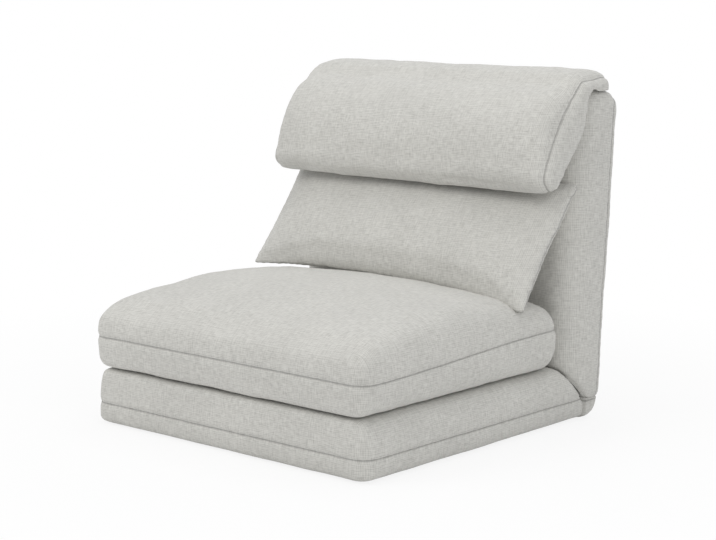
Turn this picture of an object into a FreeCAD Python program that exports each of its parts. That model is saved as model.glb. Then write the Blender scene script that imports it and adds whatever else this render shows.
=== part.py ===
import FreeCAD, Part
import Sketcher
import math
import os

# Convertible chair bed: a base cushion on the floor, a seat cushion folded over it, a back cushion
# on two ratchet hinges, a headrest sewn to the top of the back, and a loose lumbar pillow.
# Millimetres. X runs across the chair, Y towards its rear, Z up. The origin is on the floor.

Vector = FreeCAD.Vector
X_AXIS = Vector(1, 0, 0)

SIZES = [
    ("chair_width", 760, "width over the side seams"),
    ("fold_reach", 358, "origin to the front fold"),
    ("hinge_reach", 307, "origin to the back hinge"),
    ("hinge_inset", 45, "back hinge to the floor and to the rear face"),
    ("base_height", 118, "floor to the top of the base"),
    ("grip_thick", 1.2, "non slip cloth under the base"),
    ("base_side_drop", 66, "fall of the base top to its side seam"),
    ("base_side_lift", 26, "rise of the base bottom to its side seam"),
    ("seat_height", 137, "seat cushion at its edges"),
    ("seat_depth", 584, "front fold to the rear of the seat"),
    ("seat_crown", 15, "rise of the seat in its middle"),
    ("seat_side_drop", 60, "fall of the seat top to its side seam"),
    ("seat_side_lift", 42, "rise of the seat bottom to its side seam"),
    ("front_bulge", 29, "front of base and seat past the fold"),
    ("plan_round", 56, "round of the sides and front corners"),
    ("fold_gap", 0.4, "cushion ends to the fold plane"),
    ("fold_strip", 1.0, "thickness of the fabric fold hinge"),
    ("fold_strip_reach", 34, "depth of the fabric fold hinge"),
    ("strip_gap", 0.3, "fold hinge to the cushions"),
    ("back_depth", 118, "thickness of the back"),
    ("back_rise", 650, "hinge to the top of the back"),
    ("back_lean", 4.2, "lean of the back in degrees"),
    ("back_crown", 10, "front of the back in its middle"),
    ("back_front_drop", 64, "front of the back to its side seam"),
    ("back_rear_drop", 24, "rear of the back to its side seam"),
    ("back_round", 68, "round of the side edges of the back"),
    ("back_top_front", 50, "round of the top front edge"),
    ("back_top_rear", 55, "round of the top rear edge"),
    ("mitre_gap", 3.2, "base and back ends to the mitre plane"),
    ("roll_gap", 0.5, "cushion ends to the corner roll"),
    ("roll_inset", 58, "side seams to the ends of the corner roll"),
    ("roll_half", "=chair_width / 2 - roll_inset", "half the length of the corner roll"),
    ("floor_gap", 0.3, "corner roll to the floor"),
    ("fabric", 2, "thickness of the covers with their wadding"),
    ("fill_gap", 0.4, "fillings to their covers"),
    ("channel_gap", 0.5, "foam channels round the frame"),
    ("tube_half", 11, "half the side of the square frame tube"),
    ("tube_wall", 1.5, "frame tube"),
    ("tube_start", 60, "hinge to the ends of the frame tubes"),
    ("base_tube_reach", 300, "origin to the front run of the base tube"),
    ("back_tube_reach", 595, "hinge to the top run of the back tube"),
    ("cross_one", 255, "hinge to the lower cross tube of the back"),
    ("cross_two", 430, "hinge to the upper cross tube of the back"),
    ("base_cross", 40, "base cross tube ahead of the origin"),
    ("cross_half", 8, "half the side of a square cross tube"),
    ("weld_gap", 0.05, "cross tubes to the frame tubes"),
    ("plate_inset", 50, "side seams to the hinge plates"),
    ("plate_offset", "=chair_width / 2 - plate_inset", "middle of the chair to the hinge plates"),
    ("plate_thick", 4, "hinge plate"),
    ("ratchet_thick", 5, "ratchet arm"),
    ("keeper_thick", 2, "keeper plate"),
    ("keeper_rim", 5, "keeper plate past the pawl"),
    ("layer_gap", 0.2, "between the layers of the hinge"),
    ("side_gap", 0.3, "frame tubes to the hinge plates"),
    ("plate_hub", 24, "hinge plate round the pivot"),
    ("arm_half", 13, "half the width of both arms"),
    ("plate_arm", 162, "hinge to the far end of the hinge plate"),
    ("ratchet_arm", 160, "hinge to the far end of the ratchet arm"),
    ("ratchet_radius", 36, "ratchet disc over its teeth"),
    ("notch_root", 30, "ratchet disc at the foot of its notches"),
    ("notch_width", 6.5, "width of a notch"),
    ("notch_count", 5, "notches"),
    ("recline", 85.8, "travel of the back in degrees, down to flat"),
    ("pivot_radius", 6, "pivot rivet"),
    ("pivot_fit", 0.06, "running fit of the rivets"),
    ("rivet_head", 3, "height of a rivet head"),
    ("pawl_pin_back", 38, "pawl pin ahead of the pivot"),
    ("pawl_pin_drop", 26, "pawl pin below the pivot"),
    ("pawl_pin_radius", 3, "pawl pin"),
    ("pawl_boss", 7, "pawl round its pin"),
    ("pawl_tip", 1.8, "half the width of the pawl tip"),
    ("pawl_lift", 14, "pawl held off the teeth, in degrees"),
    ("spring_leaf", 0.8, "thickness of the pawl spring"),
    ("spring_width", 3.6, "width of the pawl spring"),
    ("spring_gap", 0.3, "pawl spring to the pawl"),
    ("pocket_gap", 3, "foam and cover round the hinge"),
    ("head_pivot_rise", 18, "headrest flap axis over the back"),
    ("head_pivot_rear", 24, "headrest flap axis behind the hinge line"),
    ("head_flap", 1.6, "thickness of the headrest flap"),
    ("head_width", "=chair_width - 8", "headrest over its side seams"),
    ("head_seat_gap", 0.4, "headrest to the back"),
    ("head_hang", 232, "top of the back down to the headrest's lower edge"),
    ("head_depth", 112, "headrest's front in front of the back"),
    ("head_bulge", 20, "front of the headrest"),
    ("head_root", 33, "height of the headrest at its flap"),
    ("head_side_drop", 17, "headrest faces to its side seam"),
    ("pillow_width", "=chair_width - 8", "pillow over its pointed corners"),
    ("pillow_tall", 296, "pillow, edge to edge"),
    ("pillow_half", 40, "rise of each face of the pillow over its seam"),
    ("pillow_draw", 14, "pillow edges drawn in between the corners"),
    ("pillow_reach", 110, "side seams of the pillow to its full thickness"),
    ("pillow_front", 87, "origin to the lower edge of the pillow"),
    ("pillow_gap", 0.4, "pillow to the seat and to the back"),
    ("pillow_start", 66, "lean of the pillow in degrees, before it rests on the back"),
    ("pillow_edge", 3, "half the thickness of the pillow's seam"),
]

doc = FreeCAD.newDocument("chair_bed")
sheet = doc.addObject("Spreadsheet::Sheet", "Sizes")
for row, (alias, number, words) in enumerate(SIZES, start=1):
    sheet.set("A%d" % row, words)
    sheet.set("B%d" % row, str(number))
    sheet.setAlias("B%d" % row, alias)
doc.recompute()


def mm(alias):
    """The number in the cell of that name."""
    return float(sheet.get(alias))


sub_parts = []


def keep(item, label):
    """Lists a finished document object as the sub-part that goes into the file of that name."""
    item.Label = label
    sub_parts.append(item)
    return item


# Places that follow from the sizes
half_width = mm("chair_width") / 2
fold_y = -mm("fold_reach")
hinge_y = mm("hinge_reach")
hinge_z = mm("hinge_inset")
lean = math.radians(mm("back_lean"))
seat_low = mm("base_height") + mm("fold_strip") + 2 * mm("strip_gap")
seat_high = seat_low + mm("seat_height")
back_front = mm("back_depth") - mm("hinge_inset")
back_place = FreeCAD.Placement(Vector(0, hinge_y, hinge_z), FreeCAD.Rotation(X_AXIS, -mm("back_lean")))
hinge_place = FreeCAD.Placement(Vector(0, hinge_y, hinge_z), FreeCAD.Rotation())
STILL = FreeCAD.Placement()

# The valley is where the top of the base meets the front of the back
valley_rise = (mm("base_height") - hinge_z - back_front * math.sin(lean)) / math.cos(lean)
valley_y = hinge_y - back_front * math.cos(lean) + valley_rise * math.sin(lean)


# Soft forms: outlines in the YZ plane, lofted across the chair

def inset_corners(corners, insets):
    """Corners of an anticlockwise outline after side i, from corner i on, has moved in by insets[i]."""
    moved = []
    count = len(corners)
    for i in range(count):
        lines = []
        for j in (i - 1, i):
            (ay, az), (by, bz) = corners[j], corners[(j + 1) % count]
            length = math.hypot(by - ay, bz - az)
            along = ((by - ay) / length, (bz - az) / length)
            shift = insets[j]
            lines.append((ay - along[1] * shift, az + along[0] * shift, along))
        (py, pz, first), (qy, qz, second) = lines
        across = first[0] * second[1] - first[1] * second[0]
        step = ((qy - py) * second[1] - (qz - pz) * second[0]) / across
        moved.append((py + first[0] * step, pz + first[1] * step))
    return moved


def rounds(station, corners, radii):
    """Start, middle and end of the round at each corner, in the plane X = station."""
    count = len(corners)
    found = []
    for i in range(count):
        at = Vector(station, *corners[i])
        to_last = Vector(station, *corners[i - 1]) - at
        to_next = Vector(station, *corners[(i + 1) % count]) - at
        shorter = min(to_last.Length, to_next.Length)
        to_last.normalize()
        to_next.normalize()
        half_angle = to_last.getAngle(to_next) / 2
        cut = min(radii[i] / math.tan(half_angle), 0.47 * shorter)
        radius = cut * math.tan(half_angle)
        inward = (to_last + to_next).normalize()
        centre = at + inward * (radius / math.sin(half_angle))
        found.append((at + to_last * cut, centre - inward * radius, at + to_next * cut))
    return found


def outward(start, end):
    """Direction out of an anticlockwise outline, on its side from start to end."""
    return Vector(0, end.z - start.z, start.y - end.y).normalize()


def ring(station, corners, radii, bows):
    """Closed wire in the plane X = station: bowed sides, joined by corners that are round or plain."""
    found = rounds(station, corners, radii)
    edges = []
    for i, (start, middle, end) in enumerate(found):
        if radii[i]:
            edges.append(Part.Arc(start, middle, end).toShape())
        following = found[(i + 1) % len(found)][0]
        if bows[i]:
            top = (end + following) / 2 + outward(end, following) * bows[i]
            edges.append(Part.Arc(end, top, following).toShape())
        else:
            edges.append(Part.LineSegment(end, following).toShape())
    return Part.Wire(edges)


def flat_ring(station, corners, radii, bows):
    """Points of the plainer outline inside a ring: each round corner becomes flats."""
    found = rounds(station, corners, radii)
    points = []
    for i, (start, middle, end) in enumerate(found):
        following = found[(i + 1) % len(found)][0]
        before = found[i - 1][2]
        at = Vector(station, *corners[i])
        if not radii[i]:
            points.append(at)
        elif (start - before).cross(following - end).x > 0:
            points += [start, middle, end]
        else:
            depth = middle - at
            share = depth.dot(depth) / depth.dot(start - at)
            points += [at + (start - at) * share, at + (end - at) * share]
        if bows[i]:
            out = outward(end, following) * bows[i]
            for share, height in ((0.25, 0.74), (0.5, 1.0), (0.75, 0.74)):
                points.append(end + (following - end) * share + out * height)
    return points


def skin(rings):
    """Solid with flat facets through outlines of equally many points."""
    faces = [Part.Face(Part.makePolygon(ends + ends[:1])) for ends in (rings[0], rings[-1])]
    for near, far in zip(rings, rings[1:]):
        for i in range(len(near)):
            for corners in ((near[i - 1], near[i], far[i]), (near[i - 1], far[i], far[i - 1])):
                faces.append(Part.Face(Part.makePolygon(corners + corners[:1])))
    shell = Part.makeShell(faces)
    shell.sewShape()
    solid = Part.makeSolid(shell)
    if solid.Volume < 0:
        solid.reverse()
    return solid.removeSplitter()


# Steps along the round of a side edge, from the flat to the seam, and of the plainer core in it
ROUND_STEPS = (0.0, 0.5, 0.85, 1.0)
CORE_STEPS = (0.0, 1.0)


def sections(form, inset, steps):
    """Station, corners, radii and bows of each section from the left side seam to the right."""
    half = form["half"] - inset
    reach = form["reach"]
    stations = []
    for step in steps:
        turn = step * form.get("last_step", 1.0)
        stations.append((half - reach + turn * reach, turn))
    mirrored = [(-x, turn) for x, turn in reversed(stations)]
    for x, turn in mirrored + stations:
        fall = 1 - math.sqrt(1 - turn * turn)
        insets = [inset + max(0.0, depth * fall - skip) for depth, skip in form["falls"]]
        radii = [radius and max(radius - inset, 1.0) for radius in form["radii"]]
        swell = 1 - 0.99 * turn**2
        yield x, inset_corners(form["corners"], insets), radii, [bow * swell for bow in form["bows"]]


def cushion(form):
    """Closed cushion, rounded off towards both sides."""
    return Part.makeLoft([ring(*section) for section in sections(form, 0, ROUND_STEPS)], True, True)


def core(form, inset):
    """Plainer form inside a cushion, moved in by inset, as foam is cut."""
    steps = form.get("core_steps", CORE_STEPS)
    return skin([flat_ring(*section) for section in sections(form, inset, steps)])


def cover(form):
    """Cover of a cushion with its wadding."""
    return cushion(form).cut(core(form, mm("fabric")))


def filling(form):
    """Foam or loose filling of a cushion, clear of its cover."""
    return core(form, mm("fabric") + mm("fill_gap"))


def bar(radius, y, z, low, high):
    """Round bar across the chair from X = low to X = high."""
    return Part.makeCylinder(radius, high - low, Vector(low, y, z), X_AXIS)


def box(x, y, z):
    """Box between three pairs of limits."""
    return Part.makeBox(x[1] - x[0], y[1] - y[0], z[1] - z[0], Vector(x[0], y[0], z[0]))


def soft(label, shape, place=STILL):
    """Sub-part of a soft form. Its shape is set first and its place after."""
    made = doc.addObject("Part::Feature", label)
    made.Shape = shape
    made.Placement = place
    return keep(made, label)


# Rigid forms: sketches on a body's own origin planes, their sizes bound to the sheet

def number(expression):
    """Value of an expression on the sheet."""
    return float(sheet.evalExpression(expression))


def new_body(label, place):
    """Empty sub-part made of sketches and features."""
    body = doc.addObject("PartDesign::Body", label)
    body.Placement = place
    return body


def origin_part(body, role):
    """Plane or axis of a body's own origin."""
    for item in body.Origin.OriginFeatures:
        if item.Role == role:
            return item
    raise ValueError(role)


def new_sketch(body, name, plane, offset="0"):
    """Sketch on an origin plane of its body, moved along the plane's normal by an expression."""
    made = body.newObject("Sketcher::SketchObject", body.Name + name)
    made.AttachmentSupport = [(origin_part(body, plane), "")]
    made.MapMode = "FlatFace"
    made.setExpression("AttachmentOffset.Base.z", offset)
    return made


def bind(sketch, kind, where, expression):
    """Adds a dimension to a sketch and binds it to an expression on the sheet."""
    index = sketch.addConstraint(Sketcher.Constraint(kind, *where, number(expression)))
    sketch.setExpression("Constraints[%d]" % index, expression)


def place_point(sketch, index, point, x, y):
    """Holds one point of a sketch at bound distances from the sketch's origin."""
    bind(sketch, "DistanceX", (-1, 1, index, point), x)
    bind(sketch, "DistanceY", (-1, 1, index, point), y)


def add_circle(sketch, radius, x="0", y="0"):
    """Circle of a bound radius about a bound centre."""
    centre = Vector(number(x), number(y), 0)
    index = sketch.addGeometry(Part.Circle(centre, Vector(0, 0, 1), number(radius)))
    bind(sketch, "Radius", (index,), radius)
    place_point(sketch, index, 3, x, y)


def add_polygon(sketch, points):
    """Closed outline through bound points."""
    values = [Vector(number(x), number(y), 0) for x, y in points]
    count = len(values)
    lines = []
    for i in range(count):
        lines.append(sketch.addGeometry(Part.LineSegment(values[i], values[(i + 1) % count])))
    for i in range(count):
        joined = (lines[i], 2, lines[(i + 1) % count], 1)
        sketch.addConstraint(Sketcher.Constraint("Coincident", *joined))
    for i in range(count):
        place_point(sketch, lines[i], 1, *points[i])


def add_link(sketch, radius, start, end):
    """Straight link with round ends about two bound centres."""
    a = Vector(number(start[0]), number(start[1]), 0)
    b = Vector(number(end[0]), number(end[1]), 0)
    size = number(radius)
    heading = math.atan2(b.y - a.y, b.x - a.x)
    out = Vector(-math.sin(heading), math.cos(heading), 0) * size
    quarter = math.pi / 2
    ends = []
    for centre, turn in ((a, quarter), (b, -quarter)):
        circle = Part.Circle(centre, Vector(0, 0, 1), size)
        arc = Part.ArcOfCircle(circle, heading + turn, heading + turn + math.pi)
        ends.append(sketch.addGeometry(arc))
    low = sketch.addGeometry(Part.LineSegment(a - out, b - out))
    high = sketch.addGeometry(Part.LineSegment(b + out, a + out))
    first, second = ends
    for join in ((first, 2, low, 1), (low, 2, second, 1), (second, 2, high, 1), (high, 2, first, 1)):
        sketch.addConstraint(Sketcher.Constraint("Tangent", *join))
    bind(sketch, "Radius", (first,), radius)
    place_point(sketch, first, 3, *start)
    place_point(sketch, second, 3, *end)


def pad(body, sketch, thickness):
    """Pads a sketch along its normal."""
    made = body.newObject("PartDesign::Pad", sketch.Name + "_pad")
    made.Profile = sketch
    made.setExpression("Length", thickness)
    doc.recompute()
    return made


def drill(body, sketch):
    """Cuts a sketch through the whole body, both ways."""
    made = body.newObject("PartDesign::Pocket", sketch.Name + "_cut")
    made.Profile = sketch
    made.Type = "ThroughAll"
    made.Midplane = True
    doc.recompute()
    return made


def mirrored(label, body):
    """The same piece at the left side."""
    made = doc.addObject("Part::Mirroring", label)
    made.Source = body
    made.Normal = X_AXIS
    return made


def pair(label, body):
    """Both sides' pieces as one sub-part."""
    made = doc.addObject("Part::Compound", label)
    made.Links = [body, mirrored(label + "_left", body)]
    return keep(made, label)


# Frame of square tubes
BASE_LEG = "(Sizes.plate_offset - Sizes.side_gap - Sizes.tube_half)"
BACK_PLATE = "(Sizes.plate_offset + Sizes.plate_thick + Sizes.layer_gap)"
BACK_LEG = "(%s - Sizes.side_gap - Sizes.tube_half)" % BACK_PLATE
TUBE_BORE = "(Sizes.tube_half - Sizes.tube_wall)"


def u_outline(leg, near, far, half, forward):
    """Points of a U outline: two legs from near to far and the run across, half wide to each side."""
    out = "%s %s %s" % (far, forward, half)
    back = "%s - (%s %s)" % (far, forward, half)
    right = [(leg + " - " + half, near), (leg + " + " + half, near)]
    left = [("-%s - %s" % (leg, half), near), ("-%s + %s" % (leg, half), near)]
    across = [(right[1][0], out), (left[0][0], out)]
    inside = [(left[1][0], back), (right[0][0], back)]
    return right + across + left + inside


def u_tube(label, place, plane, leg, near, far, forward):
    """Square tube mitred and welded to a U, hollow and open at both ends."""
    body = new_body(label, place)
    outline = new_sketch(body, "_outline", plane)
    add_polygon(outline, u_outline(leg, near, far, "Sizes.tube_half", forward))
    solid = pad(body, outline, "2 * Sizes.tube_half")
    solid.Midplane = True
    bore = new_sketch(body, "_bore", plane)
    open_end = "%s - (%s 2)" % (near, forward)
    add_polygon(bore, u_outline(leg, open_end, far, TUBE_BORE, forward))
    hollow = body.newObject("PartDesign::Pocket", label + "_hollow")
    hollow.Profile = bore
    hollow.Midplane = True
    hollow.setExpression("Length", "2 * " + TUBE_BORE)
    doc.recompute()
    return keep(body, label)


BASE_RUN = "-(Sizes.hinge_reach + Sizes.base_tube_reach)"
u_tube("base_frame_tube", hinge_place, "XY_Plane", BASE_LEG, "-Sizes.tube_start", BASE_RUN, "-")
u_tube(
    "back_frame_tube", back_place, "XZ_Plane", BACK_LEG, "Sizes.tube_start", "Sizes.back_tube_reach", "+"
)


def add_square(sketch, half, x, y):
    """Square about a bound centre."""
    low, high = ["%s %s %s" % (x, sign, half) for sign in "-+"]
    near, far = ["%s %s %s" % (y, sign, half) for sign in "-+"]
    add_polygon(sketch, [(low, near), (high, near), (high, far), (low, far)])


def cross_tube(label, place, leg, y, z):
    """Square tube welded between the legs."""
    body = new_body(label, place)
    outline = new_sketch(body, "_outline", "YZ_Plane")
    add_square(outline, "Sizes.cross_half", y, z)
    solid = pad(body, outline, "2 * (%s - Sizes.tube_half - Sizes.weld_gap)" % leg)
    solid.Midplane = True
    bore = new_sketch(body, "_bore", "YZ_Plane")
    add_square(bore, "(Sizes.cross_half - Sizes.tube_wall)", y, z)
    drill(body, bore)
    return keep(body, label)


cross_tube("base_cross_tube", hinge_place, BASE_LEG, "-(Sizes.hinge_reach + Sizes.base_cross)", "0")
cross_tube("back_cross_tube_lower", back_place, BACK_LEG, "0", "Sizes.cross_one")
cross_tube("back_cross_tube_upper", back_place, BACK_LEG, "0", "Sizes.cross_two")

# Ratchet hinges: each piece is drawn at the right side and mirrored to the left
PIN_Y = "-Sizes.pawl_pin_back"
PIN_Z = "-Sizes.pawl_pin_drop"
RATCHET_X = BACK_PLATE
KEEPER_X = "(%s + Sizes.ratchet_thick + Sizes.layer_gap)" % BACK_PLATE
OUTER_X = "(%s + Sizes.keeper_thick)" % KEEPER_X
PIVOT_HOLE = "Sizes.pivot_radius + Sizes.pivot_fit"
PIN_HOLE = "Sizes.pawl_pin_radius + Sizes.pivot_fit"


def hinge_plate(label):
    """Plate welded to the base frame: a hub round the pivot, an arm forwards, a link to the pawl pin."""
    body = new_body(label, hinge_place)
    outlines = (
        ("_hub", "Sizes.plate_hub", ("0", "0"), ("-2", "0")),
        ("_arm", "Sizes.arm_half", ("0", "0"), ("-Sizes.plate_arm", "0")),
        ("_link", "Sizes.pawl_boss + 3", ("0", "0"), (PIN_Y, PIN_Z)),
    )
    for name, radius, near, far in outlines:
        sketch = new_sketch(body, name, "YZ_Plane", "Sizes.plate_offset")
        add_link(sketch, radius, near, far)
        pad(body, sketch, "Sizes.plate_thick")
    pins = new_sketch(body, "_pins", "YZ_Plane")
    add_circle(pins, PIVOT_HOLE)
    add_circle(pins, PIN_HOLE, PIN_Y, PIN_Z)
    drill(body, pins)
    return body


def ratchet_arm(label):
    """Notched disc and arm of one plate, welded to the back frame."""
    body = new_body(label, hinge_place)
    disc = new_sketch(body, "_disc", "YZ_Plane", RATCHET_X)
    add_circle(disc, "Sizes.ratchet_radius")
    pad(body, disc, "Sizes.ratchet_thick")
    notch = new_sketch(body, "_notch", "YZ_Plane", RATCHET_X)
    outer = "-Sizes.ratchet_radius - 2"
    root = "-Sizes.notch_root"
    low = "-Sizes.notch_width / 2"
    high = "Sizes.notch_width / 2"
    add_polygon(notch, [(outer, low), (root, low), (root, high), (outer, high)])
    cut = drill(body, notch)
    teeth = body.newObject("PartDesign::PolarPattern", label + "_teeth")
    teeth.Originals = [cut]
    teeth.Axis = (origin_part(body, "X_Axis"), [""])
    teeth.setExpression("Angle", "Sizes.recline")
    teeth.setExpression("Occurrences", "Sizes.notch_count")
    body.Tip = teeth
    doc.recompute()
    arm = new_sketch(body, "_arm", "YZ_Plane", RATCHET_X)
    far = ["Sizes.ratchet_arm * %s(Sizes.back_lean * 1 deg)" % part for part in ("sin", "cos")]
    add_link(arm, "Sizes.arm_half", ("0", "0"), far)
    pad(body, arm, "Sizes.ratchet_thick")
    pivot = new_sketch(body, "_pivot", "YZ_Plane")
    add_circle(pivot, PIVOT_HOLE)
    drill(body, pivot)
    return body


pin_spot = Vector(0, number(PIN_Y), number(PIN_Z))
released = FreeCAD.Rotation(X_AXIS, mm("pawl_lift"))
pawl_place = FreeCAD.Placement(Vector(0, hinge_y, hinge_z) + pin_spot, released)
# In the pawl's own place its finger reaches this far when it holds the back
FINGER = "(Sizes.pawl_pin_back - Sizes.notch_root - 1)"


def pawl(label):
    """Pawl on its pin: a boss, an arm beside the disc and a finger for the notches."""
    body = new_body(label, pawl_place)
    boss = new_sketch(body, "_boss", "YZ_Plane", RATCHET_X)
    add_circle(boss, "Sizes.pawl_boss")
    pad(body, boss, "Sizes.ratchet_thick")
    arm = new_sketch(body, "_arm", "YZ_Plane", RATCHET_X)
    low = "Sizes.pawl_pin_drop - Sizes.pawl_tip"
    high = "Sizes.pawl_pin_drop + Sizes.pawl_tip"
    beside = "Sizes.pawl_pin_back - Sizes.ratchet_radius - 1.5"
    points = (
        ("1 - Sizes.pawl_boss", "0"),
        ("Sizes.pawl_boss - 2", "0"),
        (beside, "Sizes.pawl_pin_drop - 10"),
        (beside, low),
        (FINGER, low),
        (FINGER, high),
        ("-1", high + " + 2"),
        ("1 - Sizes.pawl_boss", "Sizes.pawl_pin_drop"),
    )
    add_polygon(arm, points)
    pad(body, arm, "Sizes.ratchet_thick")
    holes = new_sketch(body, "_pin", "YZ_Plane")
    add_circle(holes, PIN_HOLE)
    drill(body, holes)
    return body


def pawl_spring(label):
    """Leaf spring welded to the hinge plate, behind the released pawl."""
    body = new_body(label, pawl_place)
    leaf = new_sketch(body, "_leaf", "YZ_Plane", "Sizes.plate_offset + Sizes.plate_thick")
    face = "(1 - Sizes.pawl_boss - Sizes.spring_gap)"
    outer = "(%s - Sizes.spring_leaf)" % face
    top = "Sizes.pawl_pin_drop - 1"
    points = (
        (outer, "8"),
        (face, "8"),
        (face, top),
        (outer + " - 6", top + " + 5"),
        (outer + " - 6", top + " + 5 - Sizes.spring_leaf"),
        (outer, top + " - Sizes.spring_leaf"),
    )
    add_polygon(leaf, points)
    pad(body, leaf, "Sizes.spring_width")
    return body


def keeper(label):
    """Keeper plate over the ratchet disc and the pawl."""
    body = new_body(label, hinge_place)
    sketch = new_sketch(body, "_plate", "YZ_Plane", KEEPER_X)
    add_link(sketch, "Sizes.pawl_boss + Sizes.keeper_rim", ("0", "0"), (PIN_Y, PIN_Z))
    pad(body, sketch, "Sizes.keeper_thick")
    pins = new_sketch(body, "_pins", "YZ_Plane")
    add_circle(pins, PIVOT_HOLE)
    add_circle(pins, PIN_HOLE, PIN_Y, PIN_Z)
    drill(body, pins)
    return body


def rivet(label, radius, head, place):
    """Rivet through the plate and the keeper, with a head at each end, as a turned form."""
    body = new_body(label, place)
    sketch = new_sketch(body, "_half", "XY_Plane")
    inner = "(Sizes.plate_offset - Sizes.layer_gap)"
    outer = "(%s + Sizes.layer_gap)" % OUTER_X
    points = (
        (inner + " - Sizes.rivet_head", "0"),
        (inner + " - Sizes.rivet_head", head + " - 2"),
        (inner, head),
        (inner, radius),
        (outer, radius),
        (outer, head),
        (outer + " + Sizes.rivet_head", head + " - 2"),
        (outer + " + Sizes.rivet_head", "0"),
    )
    add_polygon(sketch, points)
    doc.recompute()
    turned = body.newObject("PartDesign::Revolution", label + "_turned")
    turned.Profile = sketch
    turned.ReferenceAxis = (sketch, ["H_Axis"])
    turned.Angle = 360
    doc.recompute()
    return body


pin_place = FreeCAD.Placement(Vector(0, hinge_y, hinge_z) + pin_spot, FreeCAD.Rotation())
pair("hinge_plates", hinge_plate("hinge_plate"))
pair("ratchet_arms", ratchet_arm("ratchet_arm"))
pair("hinge_keepers", keeper("hinge_keeper"))
pair("pawl_springs", pawl_spring("pawl_spring"))
pair("pivot_rivets", rivet("pivot_rivet", "Sizes.pivot_radius", "Sizes.pivot_radius + 4", hinge_place))
pair("pawl_pins", rivet("pawl_pin", "Sizes.pawl_pin_radius", "Sizes.pawl_pin_radius + 3", pin_place))
right_pawl = pawl("pawl")
keep(right_pawl, "pawl_right")
keep(mirrored("pawl_left", right_pawl), "pawl_left")

# Room for the frame in the foam

layers = number(OUTER_X) - mm("plate_offset")
pocket_low = mm("plate_offset") - mm("rivet_head") - mm("pocket_gap")
pocket_high = mm("plate_offset") + layers + mm("rivet_head") + mm("pocket_gap")
arm_half = mm("arm_half") + mm("channel_gap")
base_leg = number(BASE_LEG)
back_leg = number(BACK_LEG)


def both_sides(low, high, y, z):
    """The same box at the right and at the left side of the chair."""
    return box((low, high), y, z).fuse(box((-high, -low), y, z))


def local_room(rooms):
    """Union of rooms in the hinge's own coordinates."""
    whole = rooms[0]
    for room in rooms[1:]:
        whole = whole.fuse(room)
    return whole


pawl_room = mm("pawl_pin_back") + mm("pawl_boss") + mm("pocket_gap") * 4
drop_room = mm("pawl_pin_drop") + mm("pawl_boss") + mm("keeper_rim") + mm("pocket_gap")
hub_room = mm("plate_hub") + mm("pocket_gap")
base_opening = both_sides(pocket_low, pocket_high, (-pawl_room, 0), (-drop_room, hub_room))
base_arm = both_sides(base_leg, pocket_high, (-mm("plate_arm") - arm_half, 0), (-arm_half, arm_half))
tube_room = mm("tube_half") + mm("channel_gap")
cross_room = mm("cross_half") + mm("channel_gap")


def across(leg, y, z):
    """Room across the chair for a run between two legs."""
    return box((-leg, leg), y, z)


def around(middle, room):
    """Limits at both sides of a place."""
    return (middle - room, middle + room)


base_run = number(BASE_RUN)
base_legs = both_sides(
    base_leg - tube_room, base_leg + tube_room, (base_run, -mm("tube_start")), around(0, tube_room)
)
base_front = across(base_leg + tube_room, around(base_run, tube_room), around(0, tube_room))
base_cross_y = -mm("hinge_reach") - mm("base_cross")
base_cross = across(base_leg, around(base_cross_y, cross_room), around(0, cross_room))
base_room = local_room([base_opening, base_arm, base_legs, base_front, base_cross])
base_room.Placement = hinge_place

back_opening = both_sides(pocket_low, pocket_high, (-arm_half, arm_half), (0, mm("tube_start")))
back_arm = both_sides(back_leg, pocket_high, (-arm_half, arm_half), (0, mm("ratchet_arm") + arm_half))
back_run = mm("back_tube_reach")
back_legs = both_sides(
    back_leg - tube_room, back_leg + tube_room, around(0, tube_room), (mm("tube_start"), back_run)
)
back_top = across(back_leg + tube_room, around(0, tube_room), around(back_run, tube_room))
back_cross = [
    across(back_leg, around(0, cross_room), around(mm(name), cross_room)) for name in ("cross_one", "cross_two")
]
back_room = local_room([back_opening, back_arm, back_legs, back_top] + back_cross)

# Base cushion
roll_room = mm("hinge_inset") + mm("roll_gap")
base_low = mm("grip_thick") + mm("floor_gap")
fold_end = fold_y + mm("fold_gap")
base_form = {
    "half": half_width,
    "reach": mm("plan_round"),
    "corners": [
        (fold_end, base_low),
        (hinge_y, base_low),
        (hinge_y, hinge_z),
        (valley_y, mm("base_height")),
        (fold_end, mm("base_height")),
    ],
    "radii": [0, 0, 0, 0, 0],
    "bows": [0, 0, 0, 0, 0],
    "falls": [
        (mm("base_side_lift"), 0),
        (0, 0),
        (0, -mm("mitre_gap")),
        (mm("base_side_drop"), 0),
        (mm("plan_round"), mm("front_bulge")),
    ],
}


def base_bar(inset):
    """Room for the corner roll at the rear of the base."""
    return bar(roll_room + inset, hinge_y, hinge_z, -half_width - 1, half_width + 1)


base_door = base_opening.copy()
base_door.Placement = hinge_place
base_hollow = core(base_form, mm("fabric")).cut(base_bar(mm("fabric")))
soft("base_cover", cushion(base_form).cut(base_bar(0)).cut(base_hollow).cut(base_door))
base_foam_room = base_bar(mm("fabric") + mm("fill_gap"))
soft("base_foam", filling(base_form).cut(base_foam_room).cut(base_room))


def front_roll(label, low, high, low_slope, high_slope):
    """Soft roll of flat facets ahead of the fold, at the front of the base or of the seat."""
    bulge = mm("front_bulge")
    plane = fold_y + mm("fold_gap") - mm("strip_gap")
    crest = fold_y - bulge
    share = 1 - (bulge - 3) / mm("plan_round")
    form = {
        "half": half_width,
        "reach": mm("plan_round"),
        "last_step": math.sqrt(1 - share * share),
        "corners": [
            (crest, low + low_slope),
            (plane, low),
            (plane, high),
            (crest, high - high_slope),
        ],
        "radii": [26, 0, 0, 30],
        "bows": [0, 0, 0, 0],
        "falls": [
            (mm("base_side_lift"), 0),
            (0, 0),
            (mm("base_side_drop"), 0),
            (mm("plan_round"), 0),
        ],
    }
    soft(label, skin([flat_ring(*section) for section in sections(form, 0, ROUND_STEPS)]))


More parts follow.
